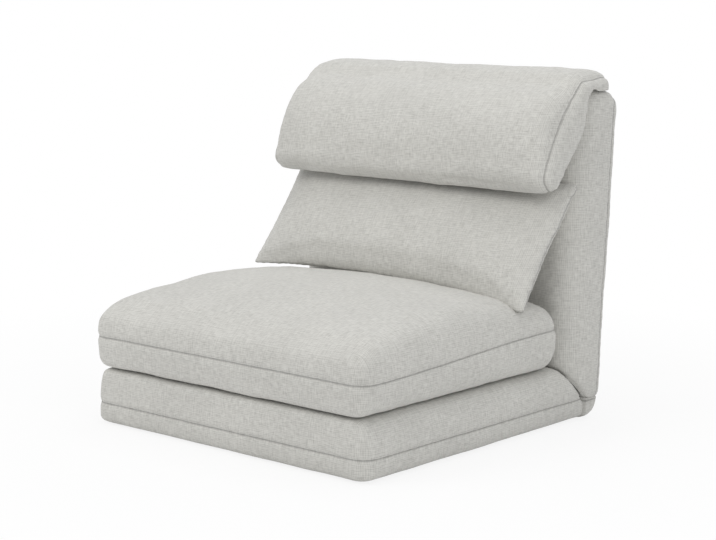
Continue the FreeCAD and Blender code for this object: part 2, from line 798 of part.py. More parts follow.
front_roll("base_front_roll", base_low + 1, mm("base_height") - 2, 8, 12)
roll_half = mm("roll_half")
roll_radius = mm("hinge_inset") - mm("floor_gap")
soft("corner_roll", bar(roll_radius, hinge_y, hinge_z, -roll_half, roll_half))
grip_rear = hinge_y - math.sqrt(roll_room**2 - (hinge_z - base_low) ** 2) - mm("pocket_gap")
grip_half = half_width - mm("plan_round")
soft("grip_cloth", box((-grip_half, grip_half), (fold_end, grip_rear), (0, mm("grip_thick"))))
strip = box(
    (-grip_half, grip_half),
    (fold_end, fold_end + mm("fold_strip_reach")),
    (mm("base_height") + mm("strip_gap"), seat_low - mm("strip_gap")),
)
soft("fold_strip", strip)

# Pleats between the base and the back: a fold in the mitre, and gussets round both hinges
mitre_turn = math.degrees(math.atan2(mm("base_height") - hinge_z, valley_y - hinge_y))
mitre_place = FreeCAD.Placement(Vector(0, hinge_y, hinge_z), FreeCAD.Rotation(X_AXIS, mitre_turn))
mitre_reach = math.hypot(mm("base_height") - hinge_z, valley_y - hinge_y)


def folded_cloth(low, high, near, far):
    """Cloth folded once into the mitre, in coordinates along the mitre and across it."""
    outer = mm("mitre_gap") - mm("strip_gap")
    cloth = mm("fold_strip")
    points = (
        (far, -outer),
        (far, cloth - outer),
        (near + 2 * cloth, -mm("strip_gap")),
        (near + 2 * cloth, mm("strip_gap")),
        (far, outer - cloth),
        (far, outer),
        (near, mm("strip_gap") + cloth),
        (near, -mm("strip_gap") - cloth),
        (far, -outer),
    )
    outline = Part.makePolygon([Vector(low, along, across) for along, across in points])
    return Part.Face(outline).extrude(Vector(high - low, 0, 0))


soft(
    "valley_pleat",
    folded_cloth(-grip_half, grip_half, mitre_reach * 0.6, mitre_reach - mm("mitre_gap")),
    mitre_place,
)
gusset_low = roll_half + 1
gusset_high = half_width - mm("strip_gap") - mm("fabric") * 3
gusset_cloth = mm("fabric") * 0.75


def gusset():
    """Cloth round one hinge: a quarter wrap outside the corner, a side disc and a fold in the mitre."""
    outer = bar(roll_radius, 0, 0, gusset_low, gusset_high)
    inner = bar(roll_radius - gusset_cloth, 0, 0, gusset_low - 1, gusset_high - gusset_cloth)
    span = 2 * roll_radius
    behind = box((gusset_low - 2, gusset_high + 1), (0, span), (-span, mm("hinge_inset") / 5))
    side = box((gusset_high - gusset_cloth, gusset_high + 1), (-span, span), (-span, span))
    return outer.cut(inner).common(behind.fuse(side))


right_gusset = gusset()
soft("gussets", Part.makeCompound([right_gusset, right_gusset.mirror(Vector(), X_AXIS)]), hinge_place)

# Seat cushion
seat_rear = fold_y + mm("seat_depth")
seat_form = {
    "half": half_width,
    "reach": mm("plan_round"),
    "corners": [
        (fold_end, seat_low),
        (seat_rear, seat_low),
        (seat_rear, seat_high),
        (fold_end + 40, seat_high),
        (fold_end, seat_high - 13),
    ],
    "radii": [0, 58, 62, 60, 0],
    "bows": [0, 0, mm("seat_crown"), 0, 0],
    "falls": [
        (mm("seat_side_lift"), 0),
        (mm("plan_round"), 0),
        (mm("seat_side_drop"), 0),
        (mm("seat_side_drop"), 0),
        (mm("plan_round"), mm("front_bulge")),
    ],
}
seat_cover = soft("seat_cover", cover(seat_form))
soft("seat_foam", filling(seat_form))
front_roll("seat_front_roll", seat_low + 1, seat_high - 15, 12, 22)

# Back cushion, in coordinates of the hinge: Y behind the hinge line, Z along the back
back_form = {
    "half": half_width,
    "reach": mm("back_round"),
    "corners": [
        (mm("hinge_inset"), 0),
        (mm("hinge_inset"), mm("back_rise")),
        (-back_front, mm("back_rise")),
        (-back_front, valley_rise),
        (0, 0),
    ],
    "radii": [0, mm("back_top_rear"), mm("back_top_front"), 0, 0],
    "bows": [0, 0, mm("back_crown"), 0, 0],
    "falls": [
        (mm("back_rear_drop"), 0),
        (mm("back_top_front"), 0),
        (mm("back_front_drop"), 0),
        (0, -mm("mitre_gap")),
        (0, 0),
    ],
}


def back_bar(inset):
    """Room for the corner roll at the lower end of the back."""
    return bar(roll_room + inset, 0, 0, -half_width - 1, half_width + 1)


back_hollow = core(back_form, mm("fabric")).cut(back_bar(mm("fabric")))
back_cover = soft("back_cover", cushion(back_form).cut(back_bar(0)).cut(back_hollow).cut(back_opening), back_place)
back_foam_room = back_bar(mm("fabric") + mm("fill_gap"))
soft("back_foam", filling(back_form).cut(back_foam_room).cut(back_room), back_place)

# Headrest, in the same coordinates. It lies on the top of the back and hangs down its front.
head_seat = mm("back_rise") + mm("head_seat_gap")
head_rear = mm("head_pivot_rear") - 4
head_front = -back_front - mm("head_depth")
head_low = mm("back_rise") - mm("head_hang")
head_inner = -back_front - mm("back_crown")
head_form = {
    "half": mm("head_width") / 2,
    "reach": 46,
    "corners": [
        (head_rear, head_seat),
        (head_rear, head_seat + mm("head_root")),
        (-back_front - 14, head_seat + 13),
        (head_front - 10, head_low + 36),
        (head_front + 30, head_low),
        (head_inner - 5, head_low + 97),
        (-back_front - mm("head_seat_gap") - 2, head_seat),
    ],
    "radii": [0, 10, 40, 26, 12, 60, mm("back_top_front") - 4],
    "bows": [0, 0, mm("head_bulge"), 0, 0, 0, 0],
    "falls": [
        (0, 0),
        (mm("head_side_drop") / 3, 0),
        (mm("head_side_drop"), 0),
        (mm("head_side_drop") / 2, 0),
        (0, 0),
        (0, 0),
        (0, 0),
    ],
}
soft("headrest_cover", cover(head_form), back_place)
soft("headrest_filling", filling(head_form), back_place)
flap_front = head_rear + mm("strip_gap") * 2
flap_rear = flap_front + mm("head_flap")
rear_round = mm("back_top_rear")
drop = rear_round - (mm("hinge_inset") - flap_front)
flap_low = mm("back_rise") - rear_round + math.sqrt(rear_round**2 - drop**2) + mm("strip_gap")
flap_half = mm("head_width") / 2 - 46
flap_high = mm("back_rise") + mm("head_pivot_rise") - 2
soft(
    "headrest_flap",
    box((-flap_half, flap_half), (flap_front, flap_rear), (flap_low, flap_high)),
    back_place,
)

# Lumbar pillow, in its own coordinates: Y from its lower edge to its upper edge, Z out of its front
tall = mm("pillow_tall")
edge = mm("pillow_edge")
pillow_form = {
    "half": mm("pillow_width") / 2,
    "reach": mm("pillow_reach"),
    "corners": [(-tall / 2, -edge), (tall / 2, -edge), (tall / 2, edge), (-tall / 2, edge)],
    "radii": [0, 0, 0, 0],
    "bows": [mm("pillow_half"), 0, mm("pillow_half"), 0],
    "falls": [(0, 0), (-mm("pillow_draw"), -mm("pillow_draw"))] * 2,
    "core_steps": ROUND_STEPS,
}
pillow_shape = cover(pillow_form)
pillow_low = seat_high + mm("seat_crown") + 2 * edge
pillow_turn = math.radians(mm("pillow_start"))


def pillow_place():
    """Present place of the pillow: it turns about the middle of its lower edge."""
    ahead = tall / 2 * math.cos(pillow_turn)
    above = tall / 2 * math.sin(pillow_turn)
    centre = Vector(0, mm("pillow_front") + ahead, pillow_low + above)
    return FreeCAD.Placement(centre, FreeCAD.Rotation(X_AXIS, math.degrees(pillow_turn)))


def spare_room(neighbour):
    """Distance from the pillow in its present place to a finished sub-part, past its own gap."""
    placed = pillow_shape.copy()
    placed.Placement = pillow_place()
    return placed.distToShape(neighbour.Shape)[0] - mm("pillow_gap")


# It is let down on the seat and tipped against the back, each time by no more than the free way
for step in range(6):
    pillow_low -= spare_room(seat_cover)
    pillow_turn -= spare_room(back_cover) / tall
soft("pillow_cover", pillow_shape, pillow_place())
soft("pillow_filling", filling(pillow_form), pillow_place())

# Check and write
doc.recompute()
for item in doc.Objects:
    for state in ("Invalid", "Error"):
        if state in item.State:
            raise RuntimeError(item.Name + " is " + state)
for item in sub_parts:
    if item.Shape.isNull() or not item.Shape.isValid() or not item.Shape.Solids:
        raise RuntimeError(item.Label + " has no valid solid")
os.makedirs("parts", exist_ok=True)
for item in sub_parts:
    item.Shape.exportStep("parts/" + item.Label + ".step")
print("wrote", len(sub_parts), "sub-parts")
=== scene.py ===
"""Dresses the convertible chair bed: woven covers, seams, pleats, frame finishes, studio and camera."""

import math

import bmesh
import bpy
import numpy as np
from bpy.props import FloatProperty, FloatVectorProperty, PointerProperty
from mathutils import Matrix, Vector


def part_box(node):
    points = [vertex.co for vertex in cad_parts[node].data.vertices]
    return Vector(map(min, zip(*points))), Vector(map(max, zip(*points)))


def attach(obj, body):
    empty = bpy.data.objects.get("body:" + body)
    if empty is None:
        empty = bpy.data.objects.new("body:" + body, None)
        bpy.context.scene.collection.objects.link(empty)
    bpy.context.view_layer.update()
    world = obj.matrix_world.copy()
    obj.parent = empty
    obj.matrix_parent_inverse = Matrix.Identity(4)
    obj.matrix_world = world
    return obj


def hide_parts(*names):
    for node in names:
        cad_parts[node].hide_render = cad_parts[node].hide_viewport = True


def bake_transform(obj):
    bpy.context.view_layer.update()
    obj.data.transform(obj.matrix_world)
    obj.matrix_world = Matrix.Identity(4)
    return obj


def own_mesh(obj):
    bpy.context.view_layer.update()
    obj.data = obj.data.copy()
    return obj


bl_info = {
    "name": "Convertible chair bed",
    "version": (1, 0, 0),
    "blender": (4, 5, 0),
    "location": "View3D > Sidebar > Chair bed",
    "description": "Covers, seams, pleats and studio for a chair that folds out to a bed",
    "category": "Object",
}

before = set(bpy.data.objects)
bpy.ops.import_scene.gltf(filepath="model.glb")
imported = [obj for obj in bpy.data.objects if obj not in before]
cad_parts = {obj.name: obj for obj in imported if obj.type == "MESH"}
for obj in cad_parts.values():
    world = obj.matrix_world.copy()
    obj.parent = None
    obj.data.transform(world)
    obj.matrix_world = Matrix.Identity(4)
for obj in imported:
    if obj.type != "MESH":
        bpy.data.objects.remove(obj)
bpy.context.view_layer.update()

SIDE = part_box("base_cover")[1][0]
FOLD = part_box("fold_strip")[0][1]
BASE_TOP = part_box("base_cover")[1][2]
SEAT_LOW, SEAT_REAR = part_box("seat_cover")[0][2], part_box("seat_cover")[1][1]
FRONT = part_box("seat_front_roll")[0][1]

# Hinge line and bottom of the valley as (y, z), lean of the back and its travel

HINGE = np.array([0.307, 0.045])
VALLEY = np.array([0.23908, 0.118])
LEAN = math.radians(4.2)
RECLINE = math.radians(85.8)

# Seams: where they run, then widths and steps of what is drawn on and beside them

BASE_SEAM = 0.045
SEAT_SEAM, SEAT_SEAM_RISE = 0.184, 0.02
BACK_SEAM = 0.033
HEADREST_SEAM = 0.006
CORNER_SEAM = 0.040
GROOVE_WIDTH = 0.0013
STITCH_OFFSET, STITCH_WIDTH, STITCH_PITCH = 0.0062, 0.0009, 0.0052
PULL_WIDTH = 0.0055
PUCKER_PITCH, PUCKER_HEIGHT, PUCKER_REACH = 0.021, 0.00045, 0.016

# Swelling: voxel of large and of small cushions, frames and cloth settings

LARGE_VOXEL, SMALL_VOXEL = 0.009, 0.0075
SWELL_FRAMES = 20
SWELL_SETTINGS = {
    "quality": 4,
    "mass": 0.3,
    "tension_stiffness": 12,
    "compression_stiffness": 12,
    "shear_stiffness": 6,
    "bending_stiffness": 1.5,
    "use_pressure": True,
    "uniform_pressure_force": 4,
}

# Studio: floor, camera and lamps, each lamp with its place, size, power and colour

FLOOR_HALF, FLOOR_Z = 12, -0.0005
CAMERA_PLACE, CAMERA_TARGET = Vector((2.56084, -2.87128, 0.94174)), Vector((0, 0.01916, 0.31006))
CAMERA_LENS, CAMERA_SENSOR, CAMERA_RANGE = 94.77, 36.0, 60
LAMP_TARGET = Vector((0, 0, 0.35))
LAMPS = (
    ("key", (-1.6, -3.0, 3.2), 2.4, 54.0, (1.0, 0.985, 0.955)),
    ("side", (3.4, -1.2, 2.0), 2.0, 27.0, (1.0, 0.99, 0.97)),
    ("top", (0.0, 0.6, 3.6), 2.6, 28.0, (1.0, 1.0, 1.0)),
)


# Settings

def length(name, description, default):
    """Length that a user may change."""
    return FloatProperty(name=name, description=description, default=default, unit="LENGTH")


def colour(name, description, default):
    """Colour that a user may change."""
    return FloatVectorProperty(name=name, description=description, subtype="COLOR", default=default)


class ChairBedSizes(bpy.types.PropertyGroup):
    """Sizes of the covers that a user may change."""

    seat_crown: length("Seat crown", "Rise of the seat in its middle", 0.014)
    seat_dome: length("Seat dome", "Rise of the filled seat over its foam", 0.030)
    side_round: length("Side round", "Depth of the rounded cushion sides", 0.038)
    swell: length("Swell", "Most that a cover swells out of its cut shape", 0.007)
    seam_depth: length("Seam depth", "How far a seam pulls the cover in", 0.0026)


class ChairBedFinish(bpy.types.PropertyGroup):
    """Colours and textures that a user may change."""

    cloth: colour("Cover cloth", "Colour of the woven cover", (0.62, 0.613, 0.578))
    cloth_dark: colour("Cloth shade", "Colour between its threads", (0.40, 0.392, 0.365))
    thread: length("Thread", "Distance between two threads", 0.0034)
    paint: colour("Frame paint", "Colour of the painted tubes", (0.03, 0.03, 0.032))
    steel: colour("Hinge steel", "Colour of the plated hinges", (0.55, 0.55, 0.53))
    grip: colour("Underside", "Colour of the non slip cloth", (0.09, 0.09, 0.09))


# Node trees

class Tree:
    """Short way to add nodes: inputs are given by name or number, as values or as sockets to link."""

    def __init__(self, tree):
        self.tree = tree
        tree.nodes.clear()

    def add(self, kind, inputs=None, **settings):
        """Adds a node of that kind and returns it."""
        node = self.tree.nodes.new(kind)
        for name, value in settings.items():
            setattr(node, name, value)
        for key, value in (inputs or {}).items():
            socket = node.inputs[key]
            if isinstance(value, bpy.types.NodeSocket):
                self.tree.links.new(value, socket)
            else:
                socket.default_value = value
        return node

    def math(self, operation, first, second=0.0, third=0.0):
        """Result of one step of arithmetic on sockets or numbers."""
        node = self.add("ShaderNodeMath", {0: first, 1: second, 2: third}, operation=operation)
        return node.outputs[0]

    def vector(self, operation, first, second=(0.0, 0.0, 0.0), scale=1.0):
        """Result of one step of vector arithmetic."""
        node = self.add("ShaderNodeVectorMath", {0: first, 1: second}, operation=operation)
        if operation == "SCALE":
            node.inputs["Scale"].default_value = scale
        return node.outputs[0]

    def ridge(self, distance, middle, width):
        """Bell curve of a distance: 1 at middle, falling off over width."""
        offset = self.math("SUBTRACT", distance, middle)
        square = self.math("MULTIPLY", offset, offset)
        return self.math("EXPONENT", self.math("MULTIPLY", square, -1.0 / width**2))


def weave_group(thread):
    """Node group of one flat piece of cloth, on two coordinates in metres.

    Height: sum of two sines, so that rows of threads cross along both directions, plus slubs,
    which are noise drawn out along each thread direction."""
    group = bpy.data.node_groups.new("Woven cloth", "ShaderNodeTree")
    group.interface.new_socket("Across", in_out="INPUT", socket_type="NodeSocketVector")
    group.interface.new_socket("Height", in_out="OUTPUT", socket_type="NodeSocketFloat")
    group.interface.new_socket("Slub", in_out="OUTPUT", socket_type="NodeSocketFloat")
    t = Tree(group)
    place = t.add("NodeGroupInput").outputs[0]
    wander = t.add("ShaderNodeTexNoise", {"Vector": place, "Scale": 90.0, "Detail": 1.0})
    shift = t.vector("SCALE", wander.outputs["Color"], scale=thread * 0.5)
    moved = t.vector("ADD", place, shift)
    turns = t.vector("SCALE", moved, scale=2 * math.pi / thread)
    waves = t.add("ShaderNodeSeparateXYZ", {0: t.vector("SINE", turns)})
    over = t.math("ADD", waves.outputs[0], waves.outputs[1])
    slubs = []
    for stretch in ((60.0, 330.0, 1.0), (330.0, 60.0, 1.0)):
        drawn = t.vector("MULTIPLY", place, stretch)
        noise = t.add("ShaderNodeTexNoise", {"Vector": drawn, "Scale": 1.0, "Detail": 2.0})
        slubs.append(noise.outputs["Fac"])
    slub = t.math("MULTIPLY", t.math("ADD", *slubs), 0.5)
    height = t.math("MULTIPLY_ADD", over, 0.075, slub)
    t.add("NodeGroupOutput", {0: height, 1: slub})
    return group


def draped_weave(t, coordinates, thread):
    """Height and slub of the weave on every face: three flat cloths across X, Y and Z, each weighted with
    the fourth power of the normal's part in that direction."""
    group = bpy.data.node_groups.get("Woven cloth") or weave_group(thread)
    place = t.add("ShaderNodeSeparateXYZ", {0: coordinates.outputs["Object"]}).outputs
    looks = t.vector("ABSOLUTE", coordinates.outputs["Normal"])
    square = t.vector("MULTIPLY", looks, looks)
    fourth = t.vector("MULTIPLY", square, square)
    weights = t.add("ShaderNodeSeparateXYZ", {0: fourth}).outputs
    total = t.math("ADD", t.math("ADD", weights[0], weights[1]), weights[2])
    heights, slubs = [], []
    for axis, (a, b) in enumerate(((1, 2), (0, 2), (0, 1))):
        flat = t.add("ShaderNodeCombineXYZ", {0: place[a], 1: place[b]}).outputs[0]
        cloth = t.add("ShaderNodeGroup", {}, node_tree=group)
        t.tree.links.new(flat, cloth.inputs[0])
        share = t.math("DIVIDE", weights[axis], total)
        heights.append(t.math("MULTIPLY", cloth.outputs[0], share))
        slubs.append(t.math("MULTIPLY", cloth.outputs[1], share))
    height = t.math("ADD", t.math("ADD", heights[0], heights[1]), heights[2])
    slub = t.math("ADD", t.math("ADD", slubs[0], slubs[1]), slubs[2])
    return height, slub


def seam_marks(t):
    """Groove and stitches as values from 0 to 1, from the distance and the way stored on the mesh."""
    seam = t.add("ShaderNodeAttribute", attribute_name="seam").outputs["Fac"]
    along = t.add("ShaderNodeAttribute", attribute_name="along").outputs["Fac"]
    groove = t.ridge(seam, 0.0, GROOVE_WIDTH)
    line = t.ridge(seam, STITCH_OFFSET, STITCH_WIDTH)
    beat = t.math("SINE", t.math("MULTIPLY", along, 2 * math.pi / STITCH_PITCH))
    stitch = t.math("MULTIPLY", line, t.math("GREATER_THAN", beat, -0.35))
    return groove, stitch


def cloth_material(name, finish):
    """Woven cover cloth: the weave lies on each face by the direction that the face looks in, seams are
    grooves with a line of stitches beside them, and the colour varies with slubs and use, with painted shade
    in the grooves."""
    material = bpy.data.materials.new(name)
    material.use_nodes = True
    t = Tree(material.node_tree)
    coordinates = t.add("ShaderNodeTexCoord")
    height, slub = draped_weave(t, coordinates, finish.thread)
    groove, stitch = seam_marks(t)
    patch = t.add(
        "ShaderNodeTexNoise", {"Vector": coordinates.outputs["Object"], "Scale": 9.0, "Detail": 3.0}
    ).outputs["Fac"]
    mix = t.add("ShaderNodeMapRange", {0: height, 1: 0.16, 2: 0.62, 3: 0.0, 4: 1.0}).outputs[0]
    dark = (*finish.cloth_dark, 1.0)
    light = (*finish.cloth, 1.0)
    woven = t.add("ShaderNodeMix", {0: mix, 6: dark, 7: light}, data_type="RGBA").outputs[2]
    tone = t.add("ShaderNodeMapRange", {0: patch, 1: 0.3, 2: 0.7, 3: 0.965, 4: 1.03}).outputs[0]
    # groove: painted shade, darkening the colour by up to 28 % along each seam; stitch and slub: the thread's
    # own colour
    for mark_value, gain, rest in ((groove, -0.28, 1.0), (stitch, 0.07, 1.0), (slub, 0.22, 0.89)):
        tone = t.math("MULTIPLY", tone, t.math("MULTIPLY_ADD", mark_value, gain, rest))
    grey = t.add("ShaderNodeCombineXYZ", {0: tone, 1: tone, 2: tone}).outputs[0]
    toned = t.vector("MULTIPLY", woven, grey)
    fold = t.math("MULTIPLY_ADD", groove, -2.2, t.math("MULTIPLY", stitch, 0.5))
    relief = t.math("ADD", height, fold)
    bump = t.add("ShaderNodeBump", {"Strength": 0.75, "Distance": 0.0011, "Height": relief})
    shader = t.add(
        "ShaderNodeBsdfPrincipled",
        {
            "Base Color": toned,
            "Roughness": 0.93,
            "Specular IOR Level": 0.18,
            "Sheen Weight": 0.22,
            "Sheen Roughness": 0.6,
            "Normal": bump.outputs[0],
        },
    )
    t.add("ShaderNodeOutputMaterial", {0: shader.outputs[0]})
    return material


def metal_material(name, tone, metallic, roughness, scale, depth):
    """Painted or plated metal: fine noise in its colour, roughness and relief."""
    material = bpy.data.materials.new(name)
    material.use_nodes = True
    t = Tree(material.node_tree)
    where = t.add("ShaderNodeTexCoord").outputs["Object"]
    noise = t.add("ShaderNodeTexNoise", {"Vector": where, "Scale": scale, "Detail": 4.0}).outputs["Fac"]
    fine = t.add("ShaderNodeTexNoise", {"Vector": where, "Scale": scale * 9, "Detail": 2.0}).outputs["Fac"]
    light = tuple(min(1.0, c * 1.2 + 0.01) for c in tone)
    dark = tuple(c * 0.75 for c in tone)
    tint = t.add("ShaderNodeMix", {0: noise, 6: (*dark, 1.0), 7: (*light, 1.0)}, data_type="RGBA")
    least, most = roughness - 0.08, roughness + 0.1
    rough = t.add("ShaderNodeMapRange", {0: fine, 1: 0.2, 2: 0.8, 3: least, 4: most})
    bump = t.add("ShaderNodeBump", {"Strength": 0.3, "Distance": depth, "Height": fine})
    shader = t.add(
        "ShaderNodeBsdfPrincipled",
        {
            "Base Color": tint.outputs[2],
            "Metallic": metallic,
            "Roughness": rough.outputs[0],
            "Normal": bump.outputs[0],
        },
    )
    t.add("ShaderNodeOutputMaterial", {0: shader.outputs[0]})
    return material


def grip_material(finish):
    """Non slip cloth: raised rubber dots in rows, from the product of two sines."""
    material = bpy.data.materials.new("Non slip cloth")
    material.use_nodes = True
    t = Tree(material.node_tree)
    where = t.add("ShaderNodeTexCoord").outputs["Object"]
    waves = t.vector("SINE", t.vector("SCALE", where, scale=math.pi / 0.006))
    parts = t.add("ShaderNodeSeparateXYZ", {0: waves}).outputs
    dots = t.math("GREATER_THAN", t.math("MULTIPLY", parts[0], parts[1]), 0.55)
    dark = (*finish.grip, 1.0)
    light = tuple(c * 1.9 for c in finish.grip)
    tint = t.add("ShaderNodeMix", {0: dots, 6: dark, 7: (*light, 1.0)}, data_type="RGBA")
    bump = t.add("ShaderNodeBump", {"Strength": 0.6, "Distance": 0.0008, "Height": dots})
    shader = t.add(
        "ShaderNodeBsdfPrincipled",
        {"Base Color": tint.outputs[2], "Roughness": 0.85, "Normal": bump.outputs[0]},
    )
    t.add("ShaderNodeOutputMaterial", {0: shader.outputs[0]})
    return material


def cover_cloth(scene):
    """The one cover cloth of all the cushions."""
    name = "Woven cover"
    return bpy.data.materials.get(name) or cloth_material(name, scene.chair_bed_finish)


# Surfaces

def cushion_form(half, reach, *corners):
    """Form of a cushion: half its width, reach of its rounded ends and the outline of its middle.

    Each corner has its (y, z), its radius, and the bow and the fall of the side that follows it."""
    places, radii, bows, falls = zip(*corners)
    return {
        "half": half,
        "reach": reach,
        "corners": places,
        "radii": radii,
        "bows": bows,
        "falls": falls,
    }


def outline(corners, radii, bows, count):
    """Closed outline in the YZ plane with count points at equal steps.

    Corner i is an arc of radii[i] that touches both sides. Side i, from corner i on, is a straight line
    raised outwards by bows[i] times a parabola."""
    corners = np.asarray(corners, float)
    arcs = []
    for i, at in enumerate(corners):
        before = corners[i - 1] - at
        after = corners[(i + 1) % len(corners)] - at
        shorter = min(np.linalg.norm(before), np.linalg.norm(after))
        before /= np.linalg.norm(before)
        after /= np.linalg.norm(after)
        half = math.acos(float(np.clip(before @ after, -1, 1))) / 2
        cut = min(max(radii[i], 0.002) / math.tan(half), 0.47 * shorter)
        radius = cut * math.tan(half)
        inward = (before + after) / np.linalg.norm(before + after)
        centre = at + inward * radius / math.sin(half)
        first, last = at + before * cut - centre, at + after * cut - centre
        start = math.atan2(first[1], first[0])
        sweep = (math.atan2(last[1], last[0]) - start + math.pi) % (2 * math.pi) - math.pi
        angles = start + sweep * np.linspace(0, 1, 13)
        arcs.append(centre + radius * np.stack([np.cos(angles), np.sin(angles)], 1))
    line = []
    for i, arc in enumerate(arcs):
        end, following = arc[-1], arcs[(i + 1) % len(arcs)][0]
        side = following - end
        out = np.array([side[1], -side[0]]) / np.linalg.norm(side)
        share = np.linspace(0, 1, 25)[1:-1, None]
        line += [arc, end + share * side + out * bows[i] * 4 * share * (1 - share)]
    line = np.concatenate(line + [arcs[0][:1]])
    steps = np.concatenate([[0], np.cumsum(np.linalg.norm(np.diff(line, axis=0), axis=1))])
    spots = np.linspace(0, steps[-1], count, endpoint=False)
    return np.stack([np.interp(spots, steps, line[:, k]) for k in (0, 1)], 1)


def inset(corners, depths):
    """Corners of an outline after side i has moved inwards by depths[i]: where the moved sides cross."""
    corners = np.asarray(corners, float)
    sides = np.roll(corners, -1, 0) - corners
    sides /= np.linalg.norm(sides, axis=1)[:, None]
    moved = corners + np.stack([-sides[:, 1], sides[:, 0]], 1) * np.asarray(depths, float)[:, None]
    last, before = np.roll(moved, 1, 0), np.roll(sides, 1, 0)
    across = before[:, 0] * sides[:, 1] - before[:, 1] * sides[:, 0]
    gap = moved - last
    step = (gap[:, 0] * sides[:, 1] - gap[:, 1] * sides[:, 0]) / across
    return last + before * step[:, None]


def cushion_surface(form):
    """Grid of a cushion: stations across the chair by points round the outline.

    From half - reach on, the turn t runs from 0 to 1 and side i moves in by its fall times
    1 - sqrt(1 - t * t), a quarter ellipse, while the bows go down by 1 - t * t."""
    turns = np.sin(np.linspace(0, math.pi / 2, 12))
    middle = np.linspace(0, form["half"] - form["reach"], 10)[:-1]
    side = form["half"] - form["reach"] + turns * form["reach"]
    right = [(x, 0.0) for x in middle] + list(zip(side, turns))
    stations = [(-x, turn) for x, turn in reversed(right[1:])] + right
    rings = []
    for x, turn in stations:
        fall = 1 - math.sqrt(max(0.0, 1 - turn * turn))
        corners = inset(form["corners"], [depth * fall for depth in form["falls"]])
        radii = [radius * (1 - 0.75 * fall) for radius in form["radii"]]
        bows = [bow * (1 - turn * turn) for bow in form["bows"]]
        points = outline(corners, radii, bows, 150)
        rings.append(np.column_stack([np.full(len(points), x), points]))
    return np.array(rings)


def plane(x, y, z):
    """Grid of a level plane: rows along X, one for each y."""
    return np.stack(np.broadcast_arrays(x[None, :], y[:, None], z), -1)


def mesh_of_grid(name, grid, closed_round=True, capped=True):
    """Mesh from a grid of points, stations by points round, with both ends capped when asked."""
    count, points = grid.shape[:2]
    a = np.arange(count - 1)[:, None] * points
    b = np.arange(points if closed_round else points - 1)[None, :]
    c = (b + 1) % points
    quads = np.stack([a + b, a + c, a + c + points, a + b + points], -1).reshape(-1, 4)
    faces = [tuple(q) for q in quads.tolist()]
    if capped:
        faces += [tuple(range(points - 1, -1, -1)), tuple(range((count - 1) * points, count * points))]
    mesh = bpy.data.meshes.new(name)
    mesh.from_pydata(grid.reshape(-1, 3).tolist(), [], faces)
    mesh.update()
    piece = bpy.data.objects.new(name, mesh)
    bpy.context.scene.collection.objects.link(piece)
    tidy = bmesh.new()
    tidy.from_mesh(mesh)
    bmesh.ops.remove_doubles(tidy, verts=tidy.verts, dist=1e-5)
    if capped:
        bmesh.ops.recalc_face_normals(tidy, faces=tidy.faces)
    tidy.to_mesh(mesh)
    tidy.free()
    return piece


def read_points(piece):
    """Vertex coordinates of a piece as an array."""
    points = np.empty(len(piece.data.vertices) * 3)
    piece.data.vertices.foreach_get("co", points)
    return points.reshape(-1, 3)


def write_points(piece, points):
    """Puts an array of coordinates back into a piece."""
    piece.data.vertices.foreach_set("co", points.ravel())
    piece.data.update()


def normals(piece):
    """Vertex normals of a piece as an array."""
    found = np.empty(len(piece.data.vertices) * 3)
    piece.data.vertex_normals.foreach_get("vector", found)
    return found.reshape(-1, 3)


def apply_modifier(piece, kind, **settings):
    """Adds one modifier with those settings and applies it."""
    made = piece.modifiers.new(kind.title(), kind)
    for name, value in settings.items():
        setattr(made, name, value)
    with bpy.context.temp_override(object=piece, active_object=piece, selected_objects=[piece]):
        bpy.ops.object.modifier_apply(modifier=made.name)


def swelled(piece, voxel, cap, still):
    """Even mesh of a piece, swelled by cloth under pressure from inside.

    No point moves out further than cap or in further than 0.3 times cap, and the move fades to nothing
    where still, a function of the coordinates, is 1."""
    apply_modifier(piece, "REMESH", mode="VOXEL", voxel_size=voxel)
    before = read_points(piece)
    cloth = piece.modifiers.new("Cloth", "CLOTH")
    for name, value in SWELL_SETTINGS.items():
        setattr(cloth.settings, name, value)
    cloth.settings.effector_weights.gravity = 0
    cloth.collision_settings.use_collision = False
    scene = bpy.context.scene
    for number in range(1, SWELL_FRAMES + 1):
        scene.frame_set(number)
    shaped = piece.evaluated_get(bpy.context.evaluated_depsgraph_get()).data
    after = np.empty(len(shaped.vertices) * 3)
    shaped.vertices.foreach_get("co", after)
    move = after.reshape(-1, 3) - before
    length = np.linalg.norm(move, axis=1)
    outwards = (move * normals(piece)).sum(1) > 0
    most = np.where(outwards, cap, cap * 0.3)
    move *= (np.minimum(1, most / np.maximum(length, 1e-9)) * (1 - still(before)))[:, None]
    piece.modifiers.remove(cloth)
    scene.frame_set(1)
    write_points(piece, before + move)
    apply_modifier(piece, "SUBSURF", levels=1, render_levels=1)
    return piece


def uneven(points, seed, wavelength):
    """Smooth unevenness from -1 to 1: mean of nine sine waves in seeded directions."""
    picker = np.random.default_rng(seed)
    directions = picker.normal(size=(9, 3))
    directions /= np.linalg.norm(directions, axis=1)[:, None]
    lengths = wavelength * picker.uniform(0.6, 1.6, 9)
    phases = picker.uniform(0, 2 * math.pi, 9)
    return np.sin(points @ (directions * 2 * math.pi / lengths[:, None]).T + phases).mean(1)


def crease(points, start, end, width, depth):
    """Depth of a crease: a bell curve of the distance to a line, tapering to nothing at both ends."""
    start, end = np.asarray(start, float), np.asarray(end, float)
    along = end - start
    share = np.clip((points - start) @ along / (along @ along), 0, 1)
    distance = np.linalg.norm(points - start - share[:, None] * along, axis=1)
    taper = np.sin(np.pi * np.clip(share, 0.02, 0.98)) ** 0.5
    return depth * np.exp(-((distance / width) ** 2)) * taper


